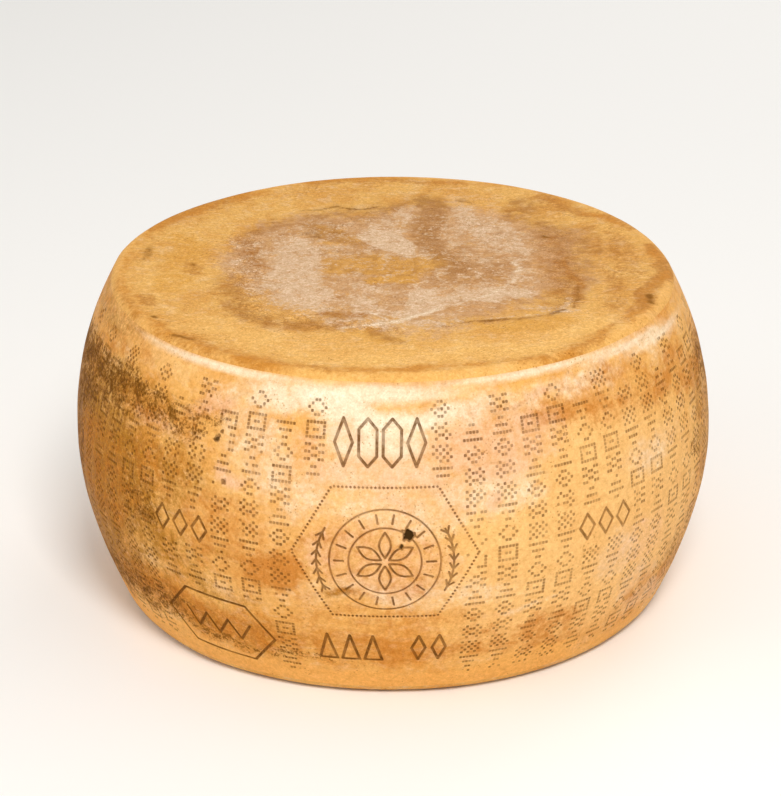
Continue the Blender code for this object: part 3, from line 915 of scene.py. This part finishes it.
def rind_material(material, base, deep, layers, mark_colours_and_shade, rough, bump, fleck_tones, blotch, **surface_values):
    """Builds a rind: mottled ground, layers of stains and of painted light with ragged edges, pressed marks darkened
    partly by painted shade, grain and orange peel.
    """
    tree = material.node_tree
    shader = tree.nodes["Principled BSDF"]
    shader.inputs["Specular IOR Level"].default_value = 0.04
    surface = used(tree, rind_surface, **surface_values)
    colour = mixed(tree, mapped(tree, surface["Mottle"], 0.38, 0.62), base, deep)
    colour = mixed(tree, mapped(tree, surface["Blotches"], 0.52, 0.68, 0.0, blotch), colour, CREAM)
    colour = mixed(tree, mapped(tree, surface["Blotches"], 0.48, 0.32, 0.0, blotch), colour, OCHRE)
    pale_streaks = mapped(tree, surface["Streaks"], 0.50, 0.68, 0.0, STREAK_LIFT)
    colour = mixed(tree, pale_streaks, colour, CREAM)
    dark_streaks = mapped(tree, surface["Streaks"], 0.47, 0.33, 0.0, STREAK_LIFT)
    dryness, relief = None, surface["Height"]
    for name, shade, flecks, ragged, soft, share in layers:
        mask = used(tree, stain_edge, mask=shader_value(tree, name), flecks_per_metre=flecks, raggedness=ragged,
                    softness=soft)["Mask"]
        mask = maths(tree, "MULTIPLY", mask, share)
        colour = mixed(tree, mask, colour, shade)
        if name in DRY_LAYERS:
            dryness = mask if dryness is None else maths(tree, "MAXIMUM", dryness, mask)
        if name == "scrape":
            relief = maths(tree, "MULTIPLY_ADD", mask, SCRAPE_RELIEF, relief)
    colour = mixed(tree, dark_streaks, colour, OCHRE)
    cracked = maths(tree, "MULTIPLY", maths(tree, "MULTIPLY", surface["Cracks"], shader_value(tree, "cracks")), CRACK_SHARE)
    colour = mixed(tree, cracked, colour, WORN_BROWN)
    tone = mapped(tree, surface["Flecks"], 0.30, 0.70, *fleck_tones, smooth=False)
    grain_tone = mapped(tree, surface["Grain"], 0.25, 0.75, *GRAIN_TONES, smooth=False)
    tone = maths(tree, "MULTIPLY", tone, grain_tone)
    coarse = mapped(tree, shader_value(tree, "cracks"), 0.0, 0.85, CALM_GRAIN, COARSE_GRAIN, smooth=False)
    tone = maths(tree, "MULTIPLY_ADD", maths(tree, "SUBTRACT", tone, 1.0), coarse, 1.0)
    tone = maths(tree, "SUBTRACT", tone, maths(tree, "MULTIPLY", surface["Pinpoints"], PINPOINT_SHADE))
    warm_tone = node(tree, "ShaderNodeVectorMath", {0: tone, 1: TONE_POWERS}, operation="POWER").outputs[0]
    colour = node(tree, "ShaderNodeVectorMath", {0: colour, 1: warm_tone}, operation="MULTIPLY").outputs[0]
    # Pressed marks and pits are painted darker: partly their own darker rind, partly painted shade in the recesses.
    if mark_colours_and_shade:
        pressed = shader_value(tree, "pressed")
        worn = mapped(tree, surface["Flecks"], 0.32, 0.60, 0.72, 1.0)
        faded = mapped(tree, surface["Blotches"], 0.36, 0.60, 0.70, 1.0)
        clean = mapped(tree, shader_value(tree, "pale"), 0.0, 1.0, 1.0, CLEAN_FADE)
        worn = maths(tree, "MULTIPLY", maths(tree, "MULTIPLY", worn, faded), clean)
        mask = maths(tree, "MULTIPLY", mapped(tree, pressed, 0.04, 0.66, 0.0, 0.96), worn)
        colour = mixed(tree, mask, colour, mark_colours_and_shade[0])
        colour = mixed(tree, mapped(tree, pressed, 1.05, 1.6), colour, mark_colours_and_shade[1])
    tree.links.new(colour, shader.inputs["Base Color"])
    roughness = mapped(tree, surface["Flecks"], 0.3, 0.7, rough - 0.06, rough + 0.08)
    if dryness is not None:
        roughness = maths(tree, "MULTIPLY_ADD", dryness, 0.22, roughness)
    tree.links.new(roughness, shader.inputs["Roughness"])
    lumps = node(tree, "ShaderNodeBump", {"Height": relief, "Strength": bump, "Distance": 0.0008})
    tree.links.new(lumps.outputs["Normal"], shader.inputs["Normal"])


rind_material(side_rind, GOLD, DEEP_GOLD, SIDE_LAYERS, (PRICK_BROWN_AND_SHADE, PIT_BROWN_AND_SHADE), 0.46, 0.6, (0.74, 1.24), 0.10,
              flecks_per_metre=300.0)

points = points_of(skin)
pressed = numbers_of(skin, "pressed")
faces = [tuple(polygon.vertices) for polygon in skin.polygons]
bpy.data.meshes.remove(skin)
angle, z = np.arctan2(points[:, 0], -points[:, 1]), points[:, 2]
lower = points[:, 2] < BASE_ROUNDING + 0.0001
upper = points[:, 2] > HEIGHT - TOP_ROUNDING - 0.0001
points[:, :2] *= girth_factor(angle, z)[:, None]
normals = soft_normals(points, faces)
normals[upper] = edge_normals(angle[upper], "top")
normals[lower] = edge_normals(angle[lower], "base")
moved = wandered(points)
moved_angle, moved_z = np.arctan2(moved[:, 0], -moved[:, 1]), moved[:, 2]
side_numbers = {name: side_stain(moved_angle, moved_z, rows, EDGE_WIDTHS[name]) for name, rows in STAINS.items()}
# The painted highlight lines are read where the points stand, so that they run smooth and unbroken.
side_numbers["painted_highlight"] = side_stain(angle, z, STAINS["painted_highlight"], EDGE_WIDTHS["painted_highlight"])
side_numbers["cracks"] = np.clip(0.75 * side_numbers["olive"] + 0.6 * side_numbers["mould"], 0, 1)
side_numbers["pressed"] = pressed

centres = np.array([points[list(face)].mean(0) for face in faces])
cell_of_face = np.floor((np.arctan2(centres[:, 0], -centres[:, 1]) / tau + 0.5) * AROUND).astype(int)
seams = [round(AROUND * (k + 0.5) / SIDE_PIECES) for k in range(SIDE_PIECES)]
piece_of_face = np.searchsorted(seams, cell_of_face, side="right") % SIDE_PIECES
for k, name in enumerate(("rind_back", "rind_left", "rind_front", "rind_right")):
    own = np.flatnonzero(piece_of_face == k)
    kept, index = np.unique(np.concatenate([faces[f] for f in own]), return_inverse=True)
    ends = np.cumsum([len(faces[f]) for f in own])
    own_faces = [tuple(part) for part in np.split(index, ends[:-1])]
    middle = tau * (k - 2) / SIDE_PIECES
    turn = (angle[kept] - middle + pi) % tau - pi
    spread = np.stack([turn, -run_at(z[kept])], 1)
    numbers = {key: values[kept] for key, values in side_numbers.items()}
    rind = shape_piece(name, points[kept], own_faces, normals[kept], spread, numbers, side_rind)
    print(name, sum(len(face) - 2 for face in own_faces), "triangles")
    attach(rind, "root")
    if name == "rind_front":
        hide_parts("cheese_wheel")


# Top face. The wheel dried on this face between turnings. A round board left it a paler, chalky middle,
# and handling scraped it and left brown spots. Its rim is rounded over into the side.
RIM_RADIUS = TOP_EDGE_RADIUS - TOP_ROUNDING
TOP_DISH = 0.0022
DISH_SHAPE = 4
TOP_WAVES = (
    (0.0005, 0.210, radians(20), 0.4),
    (0.0004, 0.130, radians(105), 1.9),
)
TOP_SWELLS = ((0.050, 0.0003), (0.012, 0.00012))
ROUNDING_RINGS = 6
TOP_RING_GAP = 0.0015


def top_height(x, y):
    """Height of the top face: dished, with slow waves that die out towards the rim."""
    share = np.hypot(x, y) / RIM_RADIUS
    height = HEIGHT - TOP_DISH * (1 - share ** DISH_SHAPE)
    for size, length, way, phase in TOP_WAVES:
        height += size * np.sin(tau * (x * cos(way) + y * sin(way)) / length + phase) * (1 - share ** 2)
    for length, size in TOP_SWELLS:
        lumps = np.array([noise.noise(Vector((a, b, 0.3))) for a, b in zip(x / length, y / length)])
        height += size * lumps * (1 - share ** 6)
    return height


def ring_plan(outer, gap, steps):
    """Radii of a flat face's rings with the number of points on each, fewer towards the middle."""
    rings = []
    radius, count = outer, AROUND
    for limit, wider in steps:
        while radius - gap > limit:
            radius -= gap
            rings.append((radius, count))
        count //= 3
        gap = wider
    return rings


def disc_mesh(rings, upwards):
    """Points and faces of rings, from the outside in, closed with one point in the middle."""
    spots, faces, start, before = [], [], 0, None
    for radius, height, count in rings:
        turn = tau * np.arange(count) / count - pi
        spots.append(np.stack([radius * np.sin(turn), -radius * np.cos(turn), np.full(count, height)], 1))
        k = np.arange(count)
        if before is not None:
            outer, wide = before
            if wide == count:
                a, b = outer + k, outer + (k + 1) % count
                faces += np.stack([a, b, start + (k + 1) % count, start + k], 1).tolist()
            else:
                o = outer + np.stack([3 * k, 3 * k + 1, 3 * k + 2, (3 * k + 3) % wide], 1)
                i, j = start + k, start + (k + 1) % count
                faces += np.stack([o[:, 0], o[:, 1], i], 1).tolist()
                faces += np.stack([o[:, 1], o[:, 2], j, i], 1).tolist()
                faces += np.stack([o[:, 2], o[:, 3], j], 1).tolist()
        before = (start, count)
        start += count
    outer, wide = before
    k = np.arange(wide)
    faces += np.stack([outer + k, outer + (k + 1) % wide, np.full(wide, start)], 1).tolist()
    spots.append(np.array([[0.0, 0.0, rings[-1][1]]]))
    if not upwards:
        faces = [face[::-1] for face in faces]
    return np.concatenate(spots), faces


def rounding(radius_at, size, height_at_step, count):
    """Rings of a rounded edge, from the side inwards."""
    rings = []
    for k in range(count + 1):
        turn = pi / 2 * k / count
        z = height_at_step(turn)
        rings.append((float(radius_at(z)) - size * (1 - cos(turn)), z, AROUND))
    return rings


edge = rounding(side_radius, TOP_ROUNDING, lambda turn: HEIGHT - TOP_ROUNDING * (1 - sin(turn)), ROUNDING_RINGS)
flat = ring_plan(RIM_RADIUS, TOP_RING_GAP, ((0.050, 0.0020), (0.018, 0.0020), (0.007, 0.0020), (0.002, 0.0)))
points, faces = disc_mesh(edge + [(radius, HEIGHT, count) for radius, count in flat], True)
inner = np.hypot(points[:, 0], points[:, 1]) < RIM_RADIUS - 0.0001
angle = np.arctan2(points[:, 0], -points[:, 1])
factor = girth_factor(angle, points[:, 2])
points[inner, 2] = top_height(points[inner, 0], points[inner, 1])
points[:, :2] *= factor[:, None]
normals = soft_normals(points, faces)
normals[:AROUND] = edge_normals(angle[:AROUND], "top")

# Patches on the top face, as smears: strength, width of the edge, then x, y and half width along
# the smear, all in mm.
TOP_STAINS = {
    "board": (
        (0.85, 34, ((-24, 22, 96), (30, 26, 102), (12, -8, 92))),
        (0.5, 24, ((110, 60, 28), (124, -20, 26))), (0.45, 20, ((-40, -104, 12), (30, -112, 14), (60, -100, 10))),
    ),
    "gold": (
        (1.0, 5, ((-17, -23, 6), (16, -22, 7))),
        (0.88, 18, ((-42, 6, 13), (-16, 14, 14), (10, 0, 20), (30, 12, 14))),
        (0.92, 14, ((-18, -6, 8), (14, -8, 12), (20, 4, 8))),
        (0.65, 16, ((-52, 78, 12), (-40, 54, 14))),
        (0.65, 14, ((60, -104, 8), (92, -108, 14), (112, -98, 9))),
        (0.6, 16, ((-150, 60, 12), (-146, 20, 16), (-150, -40, 14))),
        (0.55, 14, ((-20, -120, 8), (-4, -134, 8))),
    ),
    "brown": (
        (0.86, 13, ((22, 138, 13), (27, 100, 13), (30, 60, 12), (38, 20, 11), (46, -8, 11))),
        (0.70, 5, ((17, 132, 2), (22, 90, 3), (27, 50, 2))), (0.66, 5, ((33, 120, 2), (36, 70, 3), (44, 20, 2))),
        (0.66, 14, ((48, -14, 20), (66, -10, 21), (76, 8, 14))),
        (0.66, 14, ((-56, 88, 13), (-46, 62, 15), (-26, 44, 8), (-8, 34, 5))),
        (0.72, 10, ((-48, -86, 6), (-32, -90, 9), (-14, -88, 5))),
        (0.50, 20, ((-90, 78, 14), (-62, 98, 13), (-20, 122, 12), (12, 132, 8))),
        (0.44, 26, ((104, 96, 16), (122, 56, 22), (126, 10, 20), (118, -40, 18), (104, -66, 13))),
        (0.50, 14, ((-102, 54, 8), (-98, 30, 8), (-92, 8, 6))),
        (0.48, 16, ((-112, -30, 9), (-102, -76, 9), (-78, -100, 9), (-44, -108, 6))),
        (0.58, 7, ((20, -101, 2), (60, -98, 3), (100, -86, 4))),
        (0.55, 12, ((84, 100, 7), (98, 128, 14))),
        (0.55, 8, ((-12, -124, 7), (2, -132, 5))),
        (0.30, 30, ((4, 12, 112),)),
    ),
    "bloom": (
        (0.80, 16, ((-68, 50, 9), (-66, 16, 19), (-70, -18, 21), (-60, -50, 21), (-52, -72, 12))),
        (0.50, 14, ((-104, 54, 9), (-94, 34, 12), (-102, 6, 10), (-96, -24, 8))),
        (0.55, 14, ((2, 112, 8), (-4, 92, 18), (-6, 76, 22))),
        (0.95, 5, ((-8, 62, 19), (4, 50, 18), (10, 34, 9), (15, 24, 5))),
        (0.66, 18, ((50, 114, 8), (64, 88, 19), (78, 62, 18), (88, 36, 10))),
        (0.50, 14, ((88, 36, 8), (90, 0, 8), (84, -24, 7))),
        (0.90, 7, ((20, -48, 12), (26, -60, 13), (16, -80, 10), (4, -92, 5))),
        (0.80, 7, ((44, -52, 10), (70, -48, 11), (84, -42, 9))),
        (0.62, 16, ((-12, -38, 10), (-24, -64, 14), (-6, -84, 10), (-40, -100, 5))),
        (0.52, 12, ((-34, -112, 5), (4, -102, 7), (40, -94, 6))),
        (0.42, 18, ((50, 26, 14), (72, 8, 12))),
        (0.50, 9, ((94, -70, 6), (118, -78, 8), (122, -58, 5))),
        (0.30, 30, ((-6, 4, 104),)),
    ),
    "cracks": (
        (0.9, 20, ((-106, 60, 14), (-98, 20, 14), (-104, -30, 12), (-92, -84, 14), (-50, -104, 12), (0, -112, 8))),
        (0.7, 20, ((110, 70, 20), (122, 10, 18), (116, -60, 14))),
        (0.6, 20, ((-50, 74, 16), (-10, 120, 12))), (0.6, 10, ((30, 110, 10), (34, 50, 10), (56, -6, 16))),
        (0.5, 20, ((60, 90, 18), (84, 60, 14))), (0.35, 30, ((0, 0, 110),)), (0.25, 20, ((0, 0, 184),)),
    ),
    # Painted light: a paler, warmer band across the front of the top, where the light falls brightest.
    "painted_front_light": (
        (0.7, 60, ((-130, -112, 16), (-60, -158, 18), (10, -166, 20), (80, -150, 18), (140, -104, 14))),
        (0.4, 40, ((-168, -20, 10), (-160, -70, 12))),
    ),
    "rust": (
        (0.72, 14, ((-172, 76, 5), (-160, 104, 9), (-140, 128, 12), (-114, 150, 8))),
        (0.80, 9, ((184, 40, 4), (187, 8, 6), (184, -30, 8), (177, -62, 7), (168, -80, 4))),
        (0.60, 18, ((176, 74, 5), (158, 102, 7), (138, 124, 8), (112, 146, 7))),
        (0.46, 20, ((88, 118, 5), (98, 134, 7), (116, 130, 6))),
        (0.46, 14, ((-106, 58, 6), (-99, 30, 8), (-94, 0, 6))), (0.50, 8, ((-46, -86, 4), (-28, -92, 6), (-14, -88, 4))),
        (0.40, 22, ((-114, -40, 9), (-104, -78, 11))), (0.42, 18, ((-88, -98, 8), (-60, -110, 9))),
        (0.42, 16, ((-36, -111, 7), (0, -122, 5))), (0.34, 24, ((112, 60, 12), (120, 10, 14), (116, -40, 12))),
        (0.48, 16, ((158, 66, 7), (164, 20, 10), (160, -30, 9), (150, -76, 8))), (0.40, 14, ((140, 84, 8), (146, 30, 6))),
        (0.55, 8, ((-187, -28, 2), (-181, -60, 3), (-168, -90, 4))),
        (0.58, 7, ((-170, -60, 3), (-164, -64, 6), (-158, -70, 2))),
        (0.62, 11, ((-154, -108, 2), (-137, -131, 4), (-112, -152, 5), (-84, -169, 4), (-40, -182, 3))),
        (0.74, 8, ((121, 20, 2), (127, -10, 4), (128, -40, 5), (124, -70, 4))),
        (0.5, 10, ((-140, 10, 4), (-136, -12, 6))),
        (0.48, 10, ((-62, 176, 5), (0, 184, 4), (50, 180, 4))),
        (0.55, 12, ((60, -178, 3), (106, -155, 5), (140, -125, 4))), (0.66, 7, ((148, -112, 1), (162, -88, 3), (172, -72, 3))),
    ),
    "mould": (
        (0.60, 3, ((-66, 120, 1), (-44, 127, 2), (-20, 128, 1))),
        (0.50, 4, ((44, -100, 1), (64, -96, 2), (84, -90, 1))),
        (0.85, 3, ((-156, -90, 1.6), (-155, -93, 1))),
        (0.80, 3, ((-140, -129, 1.4), (-128, -137, 1.2))),
        (0.50, 4, ((126, -30, 1), (126, -52, 1.5), (122, -74, 1))),
        (0.75, 4, ((182, -60, 2), (176, -74, 2))),
        (0.55, 6, ((-62, 66, 4), (-54, 60, 3))),
        (0.62, 4, ((-138, 8, 2), (-137, 2, 1.4))),
        (0.55, 4, ((106, 66, 3), (108, 62, 2))),
        (0.55, 5, ((98, -84, 3), (112, -78, 2))),
        (0.52, 5, ((50, 136, 4), (58, 132, 2))),
        (0.48, 6, ((-170, 40, 2), (-174, 10, 3))),
    ),
}
SCRAPES = (
    (0.9, 4, ((-34, -111, 1.2), (0, -99, 2.2), (34, -75, 1.4))), (0.8, 4, ((34, -75, 1.2), (66, -50, 0.8), (84, -24, 0.8))),
    (0.66, 5, ((84, -24, 0.8), (88, 0, 1.4), (84, 24, 0.6))),
    (0.7, 3, ((-14, -82, 0.5), (2, -99, 0.8), (12, -106, 0.5))),
    (0.6, 3, ((60, -96, 0.6), (96, -88, 0.8), (120, -80, 0.5))),
)
FACE_WANDER_SHARE = 0.9
BARE_FROM = 0.55
BARE_RANGE = 0.35
BARE_SHARE = 0.62
RIM_LINE_RADIUS = 0.1870
RIM_LINE_HALF_WIDTH = 0.0060
RIM_LINE_BREAK = 0.030
RIM_LINE_SHARE = 0.5
SHOULDER_START = 0.1875
SIDE_START = 0.1915


def smear_distance(places, path):
    """Distance in mm from each place to the outline of a smear, less than nothing inside it."""
    best = np.full(len(places), np.inf)
    for start, end in zip(path[:-1] or path, path[1:] or path):
        way = end[:2] - start[:2]
        share = np.clip((places - start[:2]) @ way / max(way @ way, 1e-9), 0, 1)
        width = start[2] + share * (end[2] - start[2])
        best = np.minimum(best, np.hypot(*(places - start[:2] - share[:, None] * way).T) - width)
    return best


def face_stain(points, rows):
    """Strength of one kind of patch on a flat face, from 0 to 1."""
    found = np.zeros(len(points))
    for strength, edge, path in rows:
        far = smear_distance(points[:, :2] * 1000, [np.array(spot, float) for spot in path])
        share = np.clip(0.5 - far / edge, 0, 1)
        found = np.maximum(found, strength * share * share * (3 - 2 * share))
    return found


moved = points + FACE_WANDER_SHARE * (wandered(points) - points)
top_numbers = {name: face_stain(moved, rows) for name, rows in TOP_STAINS.items()}
top_numbers["scrape"] = face_stain(points, SCRAPES)
worn_bare = np.clip((np.maximum(top_numbers["gold"], top_numbers["brown"]) - BARE_FROM) / BARE_RANGE, 0, 1)
top_numbers["bloom"] *= 1 - BARE_SHARE * worn_bare
radius = np.hypot(moved[:, 0], moved[:, 1]) / factor
breaks = np.array([noise.noise(Vector((x, y, 0.7))) for x, y in points[:, :2] / RIM_LINE_BREAK])
rim_line = np.exp(-(((radius - RIM_LINE_RADIUS) / RIM_LINE_HALF_WIDTH) ** 2))
top_numbers["rim"] = rim_line * np.clip(RIM_LINE_SHARE + 0.9 * breaks, 0, 1)
radius = np.hypot(points[:, 0], points[:, 1]) / factor
top_numbers["shoulder"] = np.clip((radius - SHOULDER_START) / (SIDE_START - SHOULDER_START), 0, 1)

TOP_GOLD = (0.77, 0.43, 0.118)
TOP_DEEP_GOLD = (0.69, 0.345, 0.080)
BOARD_PINK = (0.62, 0.355, 0.175)
BLOOM = (0.72, 0.51, 0.33)
WORN_GOLD = (0.70, 0.35, 0.066)
RUST = (0.42, 0.155, 0.020)
RIM_AMBER = (0.60, 0.245, 0.036)
# Colour of the painted light on the front of the top face.
FRONT_LIGHT_GOLD = (0.90, 0.53, 0.165)
SHOULDER_GOLD = (0.84, 0.46, 0.135)
TOP_LAYERS = (
    # Painted light on the front of the top face.
    ("painted_front_light", FRONT_LIGHT_GOLD, 160.0, 0.8, 1.2, 0.85),
    ("board", BOARD_PINK, 300.0, 2.2, 0.9, 0.92),
    ("gold", WORN_GOLD, 320.0, 2.2, 0.95, 0.92),
    ("brown", WORN_BROWN, 420.0, 3.2, 1.1, 0.76),
    ("bloom", BLOOM, 400.0, 3.2, 0.75, 0.95),
    ("shoulder", SHOULDER_GOLD, 200.0, 0.6, 1.0, 0.70),
    ("rust", RUST, 340.0, 2.1, 1.0, 0.80),
    ("rim", RIM_AMBER, 240.0, 2.2, 1.1, 0.85),
    ("scrape", CREAM, 300.0, 2.4, 0.8, 0.50),
    ("mould", MOULD, 420.0, 1.8, 0.9, 0.80),
)
top_rind = bpy.data.materials.new("top_rind")
top_rind.use_nodes = True
rind_material(top_rind, TOP_GOLD, TOP_DEEP_GOLD, TOP_LAYERS, None, 0.56, 0.7, (0.72, 1.28), 0.16,
              flecks_per_metre=420.0, streak_shape=(0.55, 1.6, 1.0))
top_face = shape_piece("top_face", points, faces, normals, points[:, :2], top_numbers, top_rind)
print("top_face", sum(len(face) - 2 for face in faces), "triangles")
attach(top_face, "root")


# Underside. It is the same dry rind, flat from the shelf, with the darker ring where damp stayed
# between the wheel and the board. Its edge is rounded over into the side.
UNDER_RING_GAP = 0.0022
edge = rounding(side_radius, BASE_ROUNDING, lambda turn: BASE_ROUNDING * (1 - sin(turn)), ROUNDING_RINGS)
flat = ring_plan(edge[-1][0], UNDER_RING_GAP, ((0.150, 0.006), (0.060, 0.008), (0.016, 0.006), (0.006, 0.0)))
points, faces = disc_mesh(edge + [(radius, 0.0, count) for radius, count in flat], False)
angle = np.arctan2(points[:, 0], -points[:, 1])
points[:, :2] *= girth_factor(angle, points[:, 2])[:, None]
normals = soft_normals(points, faces)
normals[:AROUND] = edge_normals(angle[:AROUND], "base")
UNDER_STAINS = {
    "board": ((0.95, 14, ((-26, 10, 100), (22, -6, 104))),),
    "bloom": (
        (0.85, 10, ((-80, 30, 12), (-44, 52, 22), (-6, 64, 12))),
        (0.75, 10, ((48, 8, 10), (60, -30, 22), (50, -62, 12))),
        (0.6, 12, ((-60, -74, 12), (-24, -86, 14), (10, -80, 8))),
        (0.42, 14, ((0, 0, 100),)),
    ),
    "brown": (
        (0.8, 9, ((4, 44, 8), (18, 18, 14), (30, -4, 9))),
        (0.7, 10, ((-96, 20, 12), (-92, -24, 16), (-76, -56, 9))),
        (0.6, 10, ((84, 62, 12), (100, 30, 12))),
        (0.55, 12, ((-50, -128, 8), (4, -134, 10), (56, -122, 8))),
        (0.40, 14, ((0, 0, 110),)),
    ),
    "gold": ((0.8, 8, ((-18, 4, 12), (6, -12, 14))), (0.6, 12, ((130, 20, 16), (124, -40, 14)))),
    "rust": (
        (0.7, 10, ((-168, 60, 8), (-150, 96, 11), (-118, 132, 8))),
        (0.8, 10, ((174, -30, 6), (158, -84, 10), (128, -124, 7))),
        (0.6, 8, ((-20, 178, 5), (44, 172, 8), (90, 152, 5))),
        (0.7, 8, ((-120, -138, 6), (-62, -170, 8), (0, -180, 5))),
    ),
    "mould": (
        (0.6, 6, ((-126, -108, 5), (-112, -114, 4))),
        (0.5, 6, ((124, 100, 5), (138, 90, 3))),
        (0.6, 4, ((14, -62, 2), (30, -58, 3))),
    ),
    "cracks": ((0.7, 20, ((-90, 60, 16), (-100, -30, 16), (-40, -100, 14))), (0.6, 20, ((96, 60, 18), (104, -40, 16))),
               (0.3, 30, ((0, 0, 150),))),
}
moved = points + FACE_WANDER_SHARE * (wandered(points) - points)
under_numbers = {name: face_stain(moved, rows) for name, rows in UNDER_STAINS.items()}
under_rind = bpy.data.materials.new("under_rind")
under_rind.use_nodes = True
UNDER_LAYERS = tuple(layer for layer in TOP_LAYERS if layer[0] in UNDER_STAINS)
rind_material(under_rind, TOP_GOLD, TOP_DEEP_GOLD, UNDER_LAYERS, None, 0.60, 0.7, (0.72, 1.28), 0.16,
              flecks_per_metre=420.0, streak_shape=(1.4, 0.6, 1.0))
underside = shape_piece("underside", points, faces, normals, points[:, :2] * (1, -1), under_numbers, under_rind)
print("underside", sum(len(face) - 2 for face in faces), "triangles")
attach(underside, "root")


# Setting for the picture: a pale floor, a pale surround, large soft lights and the camera.
FLOOR_HALF = 15.0
PALE = (0.95, 0.945, 0.93)
floor_mesh = bpy.data.meshes.new("floor")
floor_mesh.from_pydata([(x * FLOOR_HALF, y * FLOOR_HALF, 0.0) for x, y in ((-1, -1), (1, -1), (1, 1), (-1, 1))], [],
                       [(0, 1, 2, 3)])
floor = bpy.data.objects.new("floor", floor_mesh)
bpy.context.scene.collection.objects.link(floor)
floor_finish = bpy.data.materials.new("floor")
floor_finish.use_nodes = True
floor_finish.node_tree.nodes["Principled BSDF"].inputs["Base Color"].default_value = (*PALE, 1.0)
floor_finish.node_tree.nodes["Principled BSDF"].inputs["Roughness"].default_value = 0.9
floor_mesh.materials.append(floor_finish)

world = bpy.data.worlds.new("surround")
bpy.context.scene.world = world
world.use_nodes = True
world.node_tree.nodes["Background"].inputs["Color"].default_value = (1.0, 0.985, 0.96, 1.0)
world.node_tree.nodes["Background"].inputs["Strength"].default_value = 0.55


def soft_light(name, place, size, power, colour):
    """Adds a square soft light that faces the wheel."""
    data = bpy.data.lights.new(name, "AREA")
    data.size = size
    data.energy = power
    data.color = colour
    made = bpy.data.objects.new(name, data)
    made.location = place
    made.rotation_euler = (Vector((0, 0, HEIGHT / 2)) - Vector(place)).to_track_quat("-Z", "Y").to_euler()
    bpy.context.scene.collection.objects.link(made)


soft_light("key_light", (0.35, -1.85, 2.25), 0.8, 47.0, (1.0, 0.97, 0.93))
soft_light("fill_light", (-2.2, -0.8, 1.3), 1.6, 8.0, (1.0, 0.98, 0.96))
soft_light("back_light", (1.2, 2.2, 1.9), 1.6, 16.0, (1.0, 0.98, 0.96))

CAMERA_PITCH = radians(24.0)
CAMERA_DISTANCE = 8.5 * BELLY_RADIUS
camera_data = bpy.data.cameras.new("camera")
camera_data.lens = 120.9
camera_data.sensor_width = 36.0
camera_data.shift_x = -0.0023
camera_data.shift_y = 0.0229
camera_data.clip_end = 100.0
camera = bpy.data.objects.new("camera", camera_data)
camera.location = (0.0, -CAMERA_DISTANCE * cos(CAMERA_PITCH), HEIGHT / 2 + CAMERA_DISTANCE * sin(CAMERA_PITCH))
camera.rotation_euler = (pi / 2 - CAMERA_PITCH, 0.0, 0.0)
bpy.context.scene.collection.objects.link(camera)
bpy.context.scene.camera = camera
bpy.context.scene.view_settings.view_transform = "Standard"
